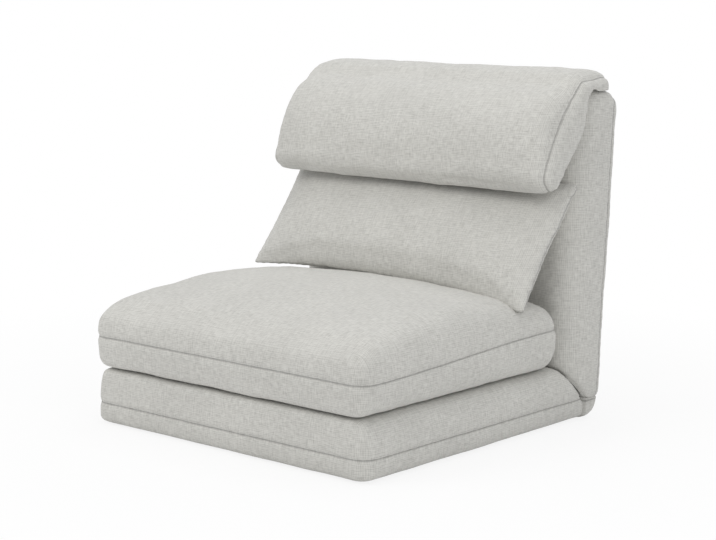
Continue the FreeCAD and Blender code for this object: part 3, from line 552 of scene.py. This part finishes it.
def sewn(piece, seam, along, depth, creases=(), seed=1, rough=0.0012):
    """Pulls the seams in, puckers the cloth beside them and adds creases and unevenness.

    seam gives the signed distance to the nearest seam and along the way on it. Both stay on the mesh as
    attributes, from which the cloth draws the seam's groove and its stitches."""
    points = read_points(piece)
    outwards = normals(piece)
    distance, way = seam(points), along(points)
    move = -depth * np.exp(-((distance / PULL_WIDTH) ** 2))
    pucker = np.sin(way * 2 * math.pi / PUCKER_PITCH + 5 * uneven(points, seed + 5, 0.12))
    move += PUCKER_HEIGHT * pucker * np.exp(-np.abs(distance) / PUCKER_REACH)
    move += rough * uneven(points, seed, 0.16) + rough * 0.5 * uneven(points, seed + 1, 0.06)
    for start, end, width, deep in creases:
        move -= crease(points, start, end, width, deep)
    write_points(piece, points + outwards * move[:, None])
    return mark(piece, seam, along)


def mark(piece, seam, along):
    """Stores the distance to the nearest seam and the way along it on the mesh."""
    points = read_points(piece)
    for name, values in (("seam", seam(points)), ("along", along(points))):
        layer = piece.data.attributes.get(name) or piece.data.attributes.new(name, "FLOAT", "POINT")
        layer.data.foreach_set("value", np.asarray(values, np.float32))
    return piece


def mark_seamless(piece):
    """Stores on a cloth without a seam that the nearest one is a metre away."""
    return mark(piece, lambda points: np.full(len(points), 1.0), lambda points: points[:, 0])


def dressed(piece, material):
    """Smooth shading and one material, in its one slot."""
    piece.data.materials.clear()
    piece.data.materials.append(material)
    piece.data.shade_smooth()
    return piece


def halves(piece, name_rear, name_front, y):
    """Cuts a closed piece at a plane across Y and closes both parts. Returns rear and front part."""
    parts = []
    for name, ahead in ((name_rear, False), (name_front, True)):
        work = bmesh.new()
        work.from_mesh(piece.data)
        geometry = work.verts[:] + work.edges[:] + work.faces[:]
        cut = bmesh.ops.bisect_plane(
            work, geom=geometry, dist=1e-6, plane_co=(0, y, 0), plane_no=(0, 1, 0),
            clear_outer=ahead, clear_inner=not ahead,
        )
        rim = [e for e in cut["geom_cut"] if isinstance(e, bmesh.types.BMEdge)]
        for edge in rim:
            edge.smooth = False
        bmesh.ops.holes_fill(work, edges=rim, sides=0)
        mesh = bpy.data.meshes.new(name)
        work.to_mesh(mesh)
        work.free()
        part = bpy.data.objects.new(name, mesh)
        bpy.context.scene.collection.objects.link(part)
        parts.append(part)
    bpy.data.objects.remove(piece)
    return parts


def smooth_step(values, low, high):
    """0 below low, 1 above high and a smooth cubic between."""
    share = np.clip((values - low) / (high - low), 0, 1)
    return share * share * (3 - 2 * share)


def near_hinge(points, end):
    """1 within 50 mm of the hinge line, falling to 0 at the distance end."""
    return 1 - smooth_step(np.hypot(points[:, 1] - HINGE[0], points[:, 2] - HINGE[1]), 0.05, end)


def back_local(points):
    """Coordinates of the hinge, Y behind its line and Z along the back, of world points."""
    gap = points[:, 1:] - HINGE
    y = gap[:, 0] * math.cos(LEAN) - gap[:, 1] * math.sin(LEAN)
    z = gap[:, 0] * math.sin(LEAN) + gap[:, 1] * math.cos(LEAN)
    return np.column_stack([points[:, 0], y, z])


def to_world(grid):
    """World points of a grid in the coordinates of the hinge."""
    flat = grid.reshape(-1, 3)
    y = flat[:, 1] * math.cos(LEAN) + flat[:, 2] * math.sin(LEAN) + HINGE[0]
    z = -flat[:, 1] * math.sin(LEAN) + flat[:, 2] * math.cos(LEAN) + HINGE[1]
    return np.column_stack([flat[:, 0], y, z]).reshape(grid.shape)


class CHAIRBED_OT_base(bpy.types.Operator):
    """Base cushion on the floor, with its low seam and its soft front"""

    bl_idname = "chairbed.base"
    bl_label = "Base cushion"

    def execute(self, context):
        """Builds the cushion from its outline, swells it, sews it and cuts it at the fold."""
        sizes = context.scene.chair_bed_sizes
        drawn = 0.003
        under = 0.0018
        top = BASE_TOP - 0.001
        form = cushion_form(
            SIDE - drawn,
            sizes.side_round,
            ((FRONT + 0.010, under), 0.012, 0, 0.013),
            ((HINGE[0], under), 0.001, 0, 0),
            ((HINGE[0], HINGE[1]), 0.001, 0, 0.0032),
            ((VALLEY[0] - 0.001, top), 0.004, 0, 0.06),
            ((FRONT + 0.009, top), 0.006, 0, 0.044),
            ((FRONT + 0.004, BASE_TOP - 0.03), 0.02, 0.002, 0.036),
            ((FRONT + 0.002, 0.012), 0.016, 0, 0.022),
        )
        piece = mesh_of_grid("base_whole", cushion_surface(form))

        def still(points):
            """1 near the hinge, at the floor and under the seat, where the cushion is held."""
            low = 1 - smooth_step(points[:, 2], 0.004, 0.03)
            high = smooth_step(points[:, 2], 0.1, 0.114)
            return np.maximum(np.maximum(near_hinge(points, 0.14), low), high)

        def seam(points):
            """Height over the low seam."""
            return points[:, 2] - BASE_SEAM

        def along(points):
            """Way round the cushion."""
            return points[:, 0] + points[:, 1]

        swelled(piece, LARGE_VOXEL, sizes.swell * 0.6, still)
        sewn(piece, seam, along, sizes.seam_depth, seed=3)
        rear, front = halves(piece, "base_cushion", "base_cushion_front", FOLD)
        for part in (rear, front):
            mark(part, seam, along)
            dressed(part, cover_cloth(context.scene))
            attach(part, "base")
        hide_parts("base_cover", "base_foam")
        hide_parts("base_front_roll")
        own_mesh(front)
        return {"FINISHED"}


class CHAIRBED_OT_seat(bpy.types.Operator):
    """Seat cushion folded over the base, with a seam round the middle of its sides"""

    bl_idname = "chairbed.seat"
    bl_label = "Seat cushion"

    def execute(self, context):
        """Builds the cushion from its outline, swells it, sews it and cuts it at the fold."""
        sizes = context.scene.chair_bed_sizes
        drawn = 0.004
        under = SEAT_LOW + 0.001
        top = SEAT_LOW + 0.137
        rear = SEAT_REAR - 0.001
        ahead = FRONT - 0.001
        form = cushion_form(
            SIDE - drawn,
            sizes.side_round,
            ((FRONT + 0.006, under), 0.008, 0, 0.044),
            ((rear, under), 0.045, 0.002, 0.034),
            ((rear, top - drawn), 0.052, sizes.seat_crown, 0.052),
            ((FRONT + 0.056, top - 0.001), 0.05, 0.001, 0.044),
            ((ahead, top - 0.030), 0.03, 0.004, 0.036),
            ((ahead, SEAT_LOW + 0.03), 0.03, 0, 0.034),
        )
        piece = mesh_of_grid("seat_whole", cushion_surface(form))

        def still(points):
            """1 under the seat, where it lies on the base."""
            return 1 - smooth_step(points[:, 2], SEAT_LOW + 0.004, SEAT_LOW + 0.04)

        def seam(points):
            """Height over the seam round the seat."""
            return points[:, 2] - SEAT_SEAM - SEAT_SEAM_RISE * smooth_step(points[:, 1], -0.36, 0.2)

        def along(points):
            """Way round the cushion."""
            return points[:, 0] + points[:, 1]

        swelled(piece, LARGE_VOXEL, sizes.swell, still)
        self.dome(piece, sizes.seat_dome)
        sewn(piece, seam, along, sizes.seam_depth * 1.2, seed=11, rough=0.0018)
        rear, front = halves(piece, "seat_cushion", "seat_cushion_front", FOLD)
        for part in (rear, front):
            mark(part, seam, along)
            dressed(part, cover_cloth(context.scene))
            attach(part, "seat")
        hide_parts("seat_cover", "seat_foam")
        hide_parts("seat_front_roll")
        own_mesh(rear)
        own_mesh(front)
        return {"FINISHED"}

    def dome(self, piece, rise):
        """Raises the top by a parabola across the seat times one along it, centred 55 mm ahead of the
        origin and 310 mm long to either side."""
        points = read_points(piece)
        width = np.clip(1 - (points[:, 0] / SIDE) ** 2, 0, 1)
        depth = np.clip(1 - ((points[:, 1] + 0.055) / 0.31) ** 2, 0, 1)
        points[:, 2] += rise * width * depth * smooth_step(points[:, 2], 0.19, 0.25)
        write_points(piece, points)


class CHAIRBED_OT_back(bpy.types.Operator):
    """Back cushion, with a seam near its rear edge"""

    bl_idname = "chairbed.back"
    bl_label = "Back cushion"

    def execute(self, context):
        """Builds the cushion in the hinge's coordinates, turns it to its lean, swells and sews it."""
        sizes = context.scene.chair_bed_sizes
        drawn = 0.003
        proud = 0.008
        rise = 0.650 - drawn
        valley = back_local(np.array([[0, *VALLEY]]))[0]
        behind = 0.045
        form = cushion_form(
            SIDE + proud / 2,
            0.05,
            ((behind + proud * 0.5, 0.0), 0.001, 0.003, 0.011),
            ((behind + proud, rise), 0.05, 0, 0.024),
            ((valley[1] + drawn, rise), 0.05, 0.008, 0.064),
            ((valley[1] + 0.001, valley[2] + 0.001), 0.004, 0, 0.0032),
            ((0.0, 0.0), 0.001, 0, 0),
        )
        piece = mesh_of_grid("back_cushion", to_world(cushion_surface(form)))

        def still(points):
            """1 near the hinge and near the top, where the headrest lies on the back."""
            local = back_local(points)
            front = smooth_step(local[:, 2], 0.36, 0.42) * smooth_step(-local[:, 1], -0.02, 0.03)
            top = smooth_step(local[:, 2], 0.63, 0.65)
            return np.maximum(near_hinge(points, 0.16), np.maximum(front, top))

        def seam(points):
            """Distance ahead of the seam near the rear edge."""
            return BACK_SEAM - back_local(points)[:, 1]

        def along(points):
            """Way round the back."""
            return points[:, 0] + points[:, 2]

        swelled(piece, LARGE_VOXEL, sizes.swell * 0.5, still)
        sewn(piece, seam, along, sizes.seam_depth, seed=21)
        dressed(piece, cover_cloth(context.scene))
        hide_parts("back_cover", "back_foam")
        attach(piece, "back")
        return {"FINISHED"}


class CHAIRBED_OT_headrest(bpy.types.Operator):
    """Headrest that lies over the top of the back, with its cloth hinge"""

    bl_idname = "chairbed.headrest"
    bl_label = "Headrest"

    def execute(self, context):
        """Builds the headrest in the hinge's coordinates and swells, creases and sews it."""
        sizes = context.scene.chair_bed_sizes
        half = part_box("headrest_cover")[1][0]
        on_back = 0.6512
        form = cushion_form(
            half + 0.009,
            0.056,
            ((0.028, on_back), 0.003, 0, 0.022),
            ((0.024, 0.682), 0.016, 0, 0.034),
            ((-0.087, 0.666), 0.05, 0.026, 0.036),
            ((-0.203, 0.452), 0.03, 0, 0.022),
            ((-0.160, 0.416), 0.016, 0, 0.004),
            ((-0.093, 0.516), 0.06, 0, -0.024),
            ((-0.077, on_back), 0.046, 0, -0.018),
        )
        piece = mesh_of_grid("headrest", to_world(cushion_surface(form)))

        def still(points):
            """1 where the headrest touches the back."""
            local = back_local(points)
            below = 1 - smooth_step(local[:, 2], 0.655, 0.675)
            inner = smooth_step(local[:, 1], -0.13, -0.095)
            return np.minimum(1, inner * below + smooth_step(local[:, 1], -0.005, 0.012))

        def seam(points):
            """Distance inside the end seams."""
            return half - HEADREST_SEAM - np.abs(points[:, 0])

        def along(points):
            """Way along an end seam."""
            return points[:, 0] + points[:, 2]

        creases = (
            ((-0.36, 0.165, 0.52), (-0.24, 0.16, 0.495), 0.009, 0.005),
            ((-0.34, 0.19, 0.49), (-0.20, 0.175, 0.485), 0.008, 0.004),
            ((0.25, 0.26, 0.655), (0.36, 0.20, 0.60), 0.010, 0.003),
            ((0.28, 0.18, 0.545), (0.36, 0.21, 0.62), 0.009, 0.003),
            ((0.05, 0.15, 0.50), (0.30, 0.155, 0.495), 0.010, 0.003),
        )
        swelled(piece, SMALL_VOXEL, sizes.swell, still)
        sewn(piece, seam, along, sizes.seam_depth, creases, seed=31, rough=0.0024)
        dressed(piece, cover_cloth(context.scene))
        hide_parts("headrest_cover", "headrest_filling", "headrest_flap")
        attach(piece, "headrest")
        return {"FINISHED"}


def pillow_surface(half, tall, thick):
    """Grid of a flat pillow with pointed corners, u across and v up it from -1 to 1.

    The sides are drawn in by 3 % times 1 - v^2, the upper and lower edge by 10.5 % times 1 - |u|^3, the
    lower one by up to 9.5 % more. Its faces rise by ((1 - |u|^2.6) (1 - |v|^2.2))^0.46."""
    u = np.linspace(-1, 1, 121)[:, None]
    v = np.linspace(-1, 1, 61)[None, :]
    draw_x = 1 - 0.030 * (1 - v**2)
    lifted = 0.105 + 0.095 * (v < 0) * np.abs(v)
    draw_y = 1 - lifted * (1 - np.abs(u) ** 3)
    shape = np.clip((1 - np.abs(u) ** 2.6) * (1 - np.abs(v) ** 2.2), 0, 1) ** 0.46
    x = half * u * draw_x
    y = tall / 2 * v * draw_y
    front, rear = (np.stack([x, y, face * thick * shape], -1) for face in (1, -1))
    return np.concatenate([front, rear[:, ::-1]], 1)


class CHAIRBED_OT_pillow(bpy.types.Operator):
    """Loose lumbar pillow with pointed corners"""

    bl_idname = "chairbed.pillow"
    bl_label = "Lumbar pillow"

    def execute(self, context):
        """Builds the pillow flat, swells and sews it, and leans it on the back."""
        sizes = context.scene.chair_bed_sizes
        low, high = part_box("pillow_cover")
        half = high[0] + 0.010
        middle = np.array([(low[1] + high[1]) / 2, (low[2] + high[2]) / 2])
        turn = math.radians(54.5)
        roll = math.radians(1.7)
        lift = 0.010
        piece = mesh_of_grid("pillow", pillow_surface(half, tall=0.310, thick=0.041))

        def placed(flat):
            """Leans flat pillow coordinates on the back."""
            x = flat[:, 0] * math.cos(roll) + flat[:, 1] * math.sin(roll)
            up = flat[:, 1] * math.cos(roll) - flat[:, 0] * math.sin(roll) + lift
            y = up * math.cos(turn) - flat[:, 2] * math.sin(turn) + middle[0]
            z = up * math.sin(turn) + flat[:, 2] * math.cos(turn) + middle[1]
            return np.column_stack([x, y, z])

        def laid(world):
            """Flat pillow coordinates of world points."""
            y, z = world[:, 1] - middle[0], world[:, 2] - middle[1]
            up = y * math.cos(turn) + z * math.sin(turn)
            out = -y * math.sin(turn) + z * math.cos(turn)
            return np.column_stack([world[:, 0], up, out])

        write_points(piece, placed(read_points(piece)))

        def still(world):
            """1 at the seam all round."""
            return np.exp(-((laid(world)[:, 2] / 0.006) ** 2))

        def seam(world):
            """Height over the seam round the pillow."""
            return laid(world)[:, 2]

        def along(world):
            """Way round the pillow."""
            flat = laid(world)
            return flat[:, 0] + flat[:, 1]

        creases = (
            ((0.34, 0.19, 0.36), (0.24, 0.18, 0.40), 0.008, 0.005),
            ((0.35, 0.20, 0.41), (0.27, 0.19, 0.44), 0.008, 0.004),
            ((-0.35, 0.17, 0.38), (-0.25, 0.17, 0.41), 0.008, 0.004),
            ((0.33, 0.13, 0.31), (0.22, 0.13, 0.34), 0.009, 0.004),
        )
        swelled(piece, SMALL_VOXEL, sizes.swell, still)
        sewn(piece, seam, along, 0.001, creases, seed=41, rough=0.0022)
        dressed(piece, cover_cloth(context.scene))
        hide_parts("pillow_cover", "pillow_filling")
        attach(piece, "pillow")
        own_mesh(piece)
        return {"FINISHED"}


def side_reach(radius):
    """How far a cushion's side reaches at a radius from the hinge, along the mitre: half an ellipse."""
    low, length_along, drop = 0.014, 0.086, 0.056
    share = np.clip((radius - low) / length_along, 0, 1)
    return SIDE - 0.004 - drop * (1 - np.sqrt(1 - share**2))


class CHAIRBED_OT_pleats(bpy.types.Operator):
    """Cloth between base and back: the round rear corner and the pleat that opens as the back lies down"""

    bl_idname = "chairbed.pleats"
    bl_label = "Pleats"

    def execute(self, context):
        """Builds the corner and the pleat as surfaces that bend between base and back."""
        cloth = cover_cloth(context.scene)
        self.corner(cloth)
        self.pleat(cloth)
        self.flat_cloths(context.scene, cloth)
        return {"FINISHED"}

    def corner(self, cloth):
        """Quarter turn about the hinge line, from the base's end to the back's end. Its radius is 44.5 mm, or
        1 mm more beside the back, less a fall of 13 to 11 mm times 1 - cos of a quarter turn, which begins
        45 mm from the side. Its ends close at the hinge line."""
        reach = 0.045
        side = SIDE - 0.001
        straight = 0.7
        way = np.concatenate([[0], np.sin(np.linspace(-math.pi / 2, math.pi / 2, 97)), [0]])
        share = np.clip((np.abs(way) - straight) / 0.3, 0, 1)
        flat = np.clip(np.abs(way) / straight, 0, 1) * (side - reach)
        x = np.sign(way) * (flat + reach * np.sin(share * math.pi / 2))
        x[0], x[-1] = x[1], x[-2]
        angle = np.radians(np.linspace(-92.0, -2.0, 33))[:, None]
        fall = 0.013 - 0.002 * (angle + math.radians(92)) / math.radians(90)
        radius = 0.0445 + 0.001 * (angle > -1) - fall * (1 - np.cos(share * math.pi / 2))[None, :]
        radius[:, 0] = radius[:, -1] = 0.0002
        y = HINGE[0] + np.cos(angle) * radius
        z = HINGE[1] + np.sin(angle) * radius
        grid = np.stack([np.broadcast_to(x, y.shape), y, np.maximum(z, 0.0004)], -1)
        piece = mesh_of_grid("corner_band", grid, closed_round=True, capped=True)

        def seam(points):
            """Distance outside the seam that runs on from the base to the back."""
            return CORNER_SEAM - points[:, 2]

        mark(piece, seam, lambda points: points[:, 1] + points[:, 2])
        dressed(piece, cloth)
        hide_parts("corner_roll", "gussets")
        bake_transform(piece)

    def pleat(self, cloth):
        """Strip across the mitre along the cushions' outline there. Its fold lies 27 mm deep at rest.

        A point at radius r lies, with the back down, at the angle acos(73 mm / r) off the upright, so its
        share of the turn is 1/2 minus that angle over the travel, and its place across the gap is where
        the smooth blend has that share."""
        mitre = math.atan2(VALLEY[1] - HINGE[1], VALLEY[0] - HINGE[0])
        along = np.array([math.cos(mitre), math.sin(mitre)])
        across = np.array([math.sin(mitre), -math.cos(mitre)])
        full = float(np.hypot(*(VALLEY - HINGE))) - 0.0012
        rise = np.linspace(0.012, full, 15)
        flat = np.linspace(-1, 1, 41)[1:-1] * side_reach(np.array([full]))[0]
        rim_x = np.concatenate([-side_reach(rise), flat, side_reach(rise)[::-1]])
        rim_r = np.concatenate([rise, np.full(len(flat), full), rise[::-1]])
        half = 0.0030
        fold_radius = 0.073
        drawn = 0.004
        fold = np.minimum(rim_r, fold_radius)
        rows = []
        for part in np.linspace(0, 1, 13):
            depth = 1 - abs(2 * part - 1)
            r = rim_r + (fold - rim_r) * depth
            angle = np.arccos(np.clip(fold_radius / np.maximum(r, 0.0731), 0, 1))
            wide = np.where(rim_r > 0.0735, 0.5 - angle / RECLINE, 0.5 * depth)
            wide = np.clip(wide, 0.0, 0.5)
            spot = 0.5 - np.sin(np.arcsin(1 - 2 * wide) / 3)
            sign = -1 if part < 0.5 else 1
            gap = sign * (0.5 - spot) * 2 * half
            x = rim_x - np.sign(rim_x) * drawn * depth
            y = HINGE[0] + along[0] * r + across[0] * gap
            z = HINGE[1] + along[1] * r + across[1] * gap
            rows.append(np.stack([x, y, z], -1))
        piece = mesh_of_grid("valley_pleat_cloth", np.array(rows), closed_round=False, capped=False)
        mark_seamless(piece)
        dressed(piece, cloth)
        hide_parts("valley_pleat")
        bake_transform(piece)

    def flat_cloths(self, scene, cloth):
        """Non slip cloth under the base and the cloth fold hinge under the seat: plane grids."""
        low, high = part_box("grip_cloth")
        x = np.linspace(low[0], high[0], 41)
        y = np.linspace(low[1], high[1], 41)
        grip = mesh_of_grid("grip_underside", plane(x, y, 0.0008)[::-1], closed_round=False, capped=False)
        dressed(grip, grip_material(scene.chair_bed_finish))
        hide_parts("grip_cloth")
        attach(grip, "base")
        low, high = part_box("fold_strip")
        x = np.linspace(low[0], high[0], 41)
        y = np.linspace(low[1], high[1], 7)
        middle = (low[2] + high[2]) / 2
        strip = mesh_of_grid("fold_hinge_cloth", plane(x, y, middle), closed_round=False, capped=False)
        mark_seamless(strip)
        dressed(strip, cloth)
        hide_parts("fold_strip")
        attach(strip, "base")


class CHAIRBED_OT_frame_finish(bpy.types.Operator):
    """Paint on the tubes and plating on the hinge pieces"""

    bl_idname = "chairbed.frame_finish"
    bl_label = "Frame finish"

    def execute(self, context):
        """Gives every metal node its material."""
        finish = context.scene.chair_bed_finish
        paint = metal_material("Frame paint", finish.paint, 0.0, 0.42, 60.0, 0.0003)
        steel = metal_material("Plated steel", finish.steel, 1.0, 0.36, 40.0, 0.0001)
        for name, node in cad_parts.items():
            if node.hide_render:
                continue
            node.data.materials.clear()
            node.data.materials.append(paint if "tube" in name else steel)
        return {"FINISHED"}


class CHAIRBED_OT_stage(bpy.types.Operator):
    """Plain pale floor, soft studio light and camera"""

    bl_idname = "chairbed.stage"
    bl_label = "Studio"

    def execute(self, context):
        """Adds the floor, the world, the lamps and the camera."""
        scene = context.scene
        across = np.linspace(-FLOOR_HALF, FLOOR_HALF, 9)
        grid = plane(across, across, FLOOR_Z)
        floor = mesh_of_grid("studio_floor", grid, closed_round=False, capped=False)
        floor.data.materials.append(self.floor_material())
        scene.world = self.studio_world()
        for name, place, size, power, tint in LAMPS:
            data = bpy.data.lights.new(name, "AREA")
            data.size = size
            data.energy = power
            data.color = tint
            self.aimed(scene, data, Vector(place), LAMP_TARGET)
        data = bpy.data.cameras.new("photo_camera")
        data.sensor_width = CAMERA_SENSOR
        data.lens = CAMERA_LENS
        data.clip_end = CAMERA_RANGE
        scene.camera = self.aimed(scene, data, CAMERA_PLACE, CAMERA_TARGET)
        scene.view_settings.view_transform = "Standard"
        return {"FINISHED"}

    def aimed(self, scene, data, place, target):
        """Object of a lamp or a camera at a place, turned to a target."""
        made = bpy.data.objects.new(data.name, data)
        made.location = place
        made.rotation_euler = (target - place).to_track_quat("-Z", "Y").to_euler()
        scene.collection.objects.link(made)
        return made

    def floor_material(self):
        """Paper that fades to plain white for the camera, from 0.5 m to 1.5 m away from the origin."""
        material = bpy.data.materials.new("Pale floor")
        material.use_nodes = True
        t = Tree(material.node_tree)
        paper = t.add("ShaderNodeBsdfDiffuse", {"Color": (0.86, 0.86, 0.86, 1)})
        white = t.add("ShaderNodeEmission", {"Color": (1, 1, 1, 1), "Strength": 1.0})
        path = t.add("ShaderNodeLightPath")
        seen = t.math("MAXIMUM", path.outputs["Is Camera Ray"], path.outputs["Is Glossy Ray"])
        spot = t.add("ShaderNodeTexCoord").outputs["Object"]
        away = t.add("ShaderNodeVectorMath", {0: spot}, operation="LENGTH").outputs["Value"]
        fade = t.add("ShaderNodeMapRange", {0: away, 1: 0.5, 2: 1.5, 3: 0.86, 4: 1.0}).outputs[0]
        share = t.math("MULTIPLY", seen, fade)
        both = t.add("ShaderNodeMixShader", {0: share, 1: paper.outputs[0], 2: white.outputs[0]})
        t.add("ShaderNodeOutputMaterial", {0: both.outputs[0]})
        return material

    def studio_world(self):
        """Soft light from all round, with plain white where the camera looks past the floor."""
        world = bpy.data.worlds.new("Studio")
        world.use_nodes = True
        t = Tree(world.node_tree)
        path = t.add("ShaderNodeLightPath")
        seen = t.math("MAXIMUM", path.outputs["Is Camera Ray"], path.outputs["Is Glossy Ray"])
        seen = t.math("MAXIMUM", seen, path.outputs["Is Transmission Ray"])
        room = t.add("ShaderNodeBackground", {"Color": (0.97, 0.98, 1.0, 1), "Strength": 0.62})
        clear = t.add("ShaderNodeBackground", {"Color": (1, 1, 1, 1), "Strength": 1.0})
        both = t.add("ShaderNodeMixShader", {0: seen, 1: room.outputs[0], 2: clear.outputs[0]})
        t.add("ShaderNodeOutputWorld", {0: both.outputs[0]})
        return world


class CHAIRBED_PT_panel(bpy.types.Panel):
    """Sizes, finishes and pieces of the chair bed"""

    bl_idname = "CHAIRBED_PT_panel"
    bl_label = "Chair bed"
    bl_space_type = "VIEW_3D"
    bl_region_type = "UI"
    bl_category = "Chair bed"

    def draw(self, context):
        """Lists the sizes, the finishes and the buttons."""
        for group in (context.scene.chair_bed_sizes, context.scene.chair_bed_finish):
            for name in group.bl_rna.properties.keys():
                if name not in ("rna_type", "name"):
                    self.layout.prop(group, name)
        for operator in OPERATORS:
            self.layout.operator(operator.bl_idname)


OPERATORS = (
    CHAIRBED_OT_base,
    CHAIRBED_OT_seat,
    CHAIRBED_OT_back,
    CHAIRBED_OT_headrest,
    CHAIRBED_OT_pillow,
    CHAIRBED_OT_pleats,
    CHAIRBED_OT_frame_finish,
    CHAIRBED_OT_stage,
)
CLASSES = (ChairBedSizes, ChairBedFinish, *OPERATORS, CHAIRBED_PT_panel)


def register():
    """Makes the classes known to Blender and hangs the settings on the scene."""
    for item in CLASSES:
        bpy.utils.register_class(item)
    bpy.types.Scene.chair_bed_sizes = PointerProperty(type=ChairBedSizes)
    bpy.types.Scene.chair_bed_finish = PointerProperty(type=ChairBedFinish)


def unregister():
    """Takes the settings and the classes away again."""
    del bpy.types.Scene.chair_bed_finish
    del bpy.types.Scene.chair_bed_sizes
    for item in reversed(CLASSES):
        bpy.utils.unregister_class(item)


def main():
    """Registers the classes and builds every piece."""
    register()
    bpy.ops.chairbed.base()
    bpy.ops.chairbed.seat()
    bpy.ops.chairbed.back()
    bpy.ops.chairbed.headrest()
    bpy.ops.chairbed.pillow()
    bpy.ops.chairbed.pleats()
    bpy.ops.chairbed.frame_finish()
    bpy.ops.chairbed.stage()


if __name__ == "__main__":
    main()
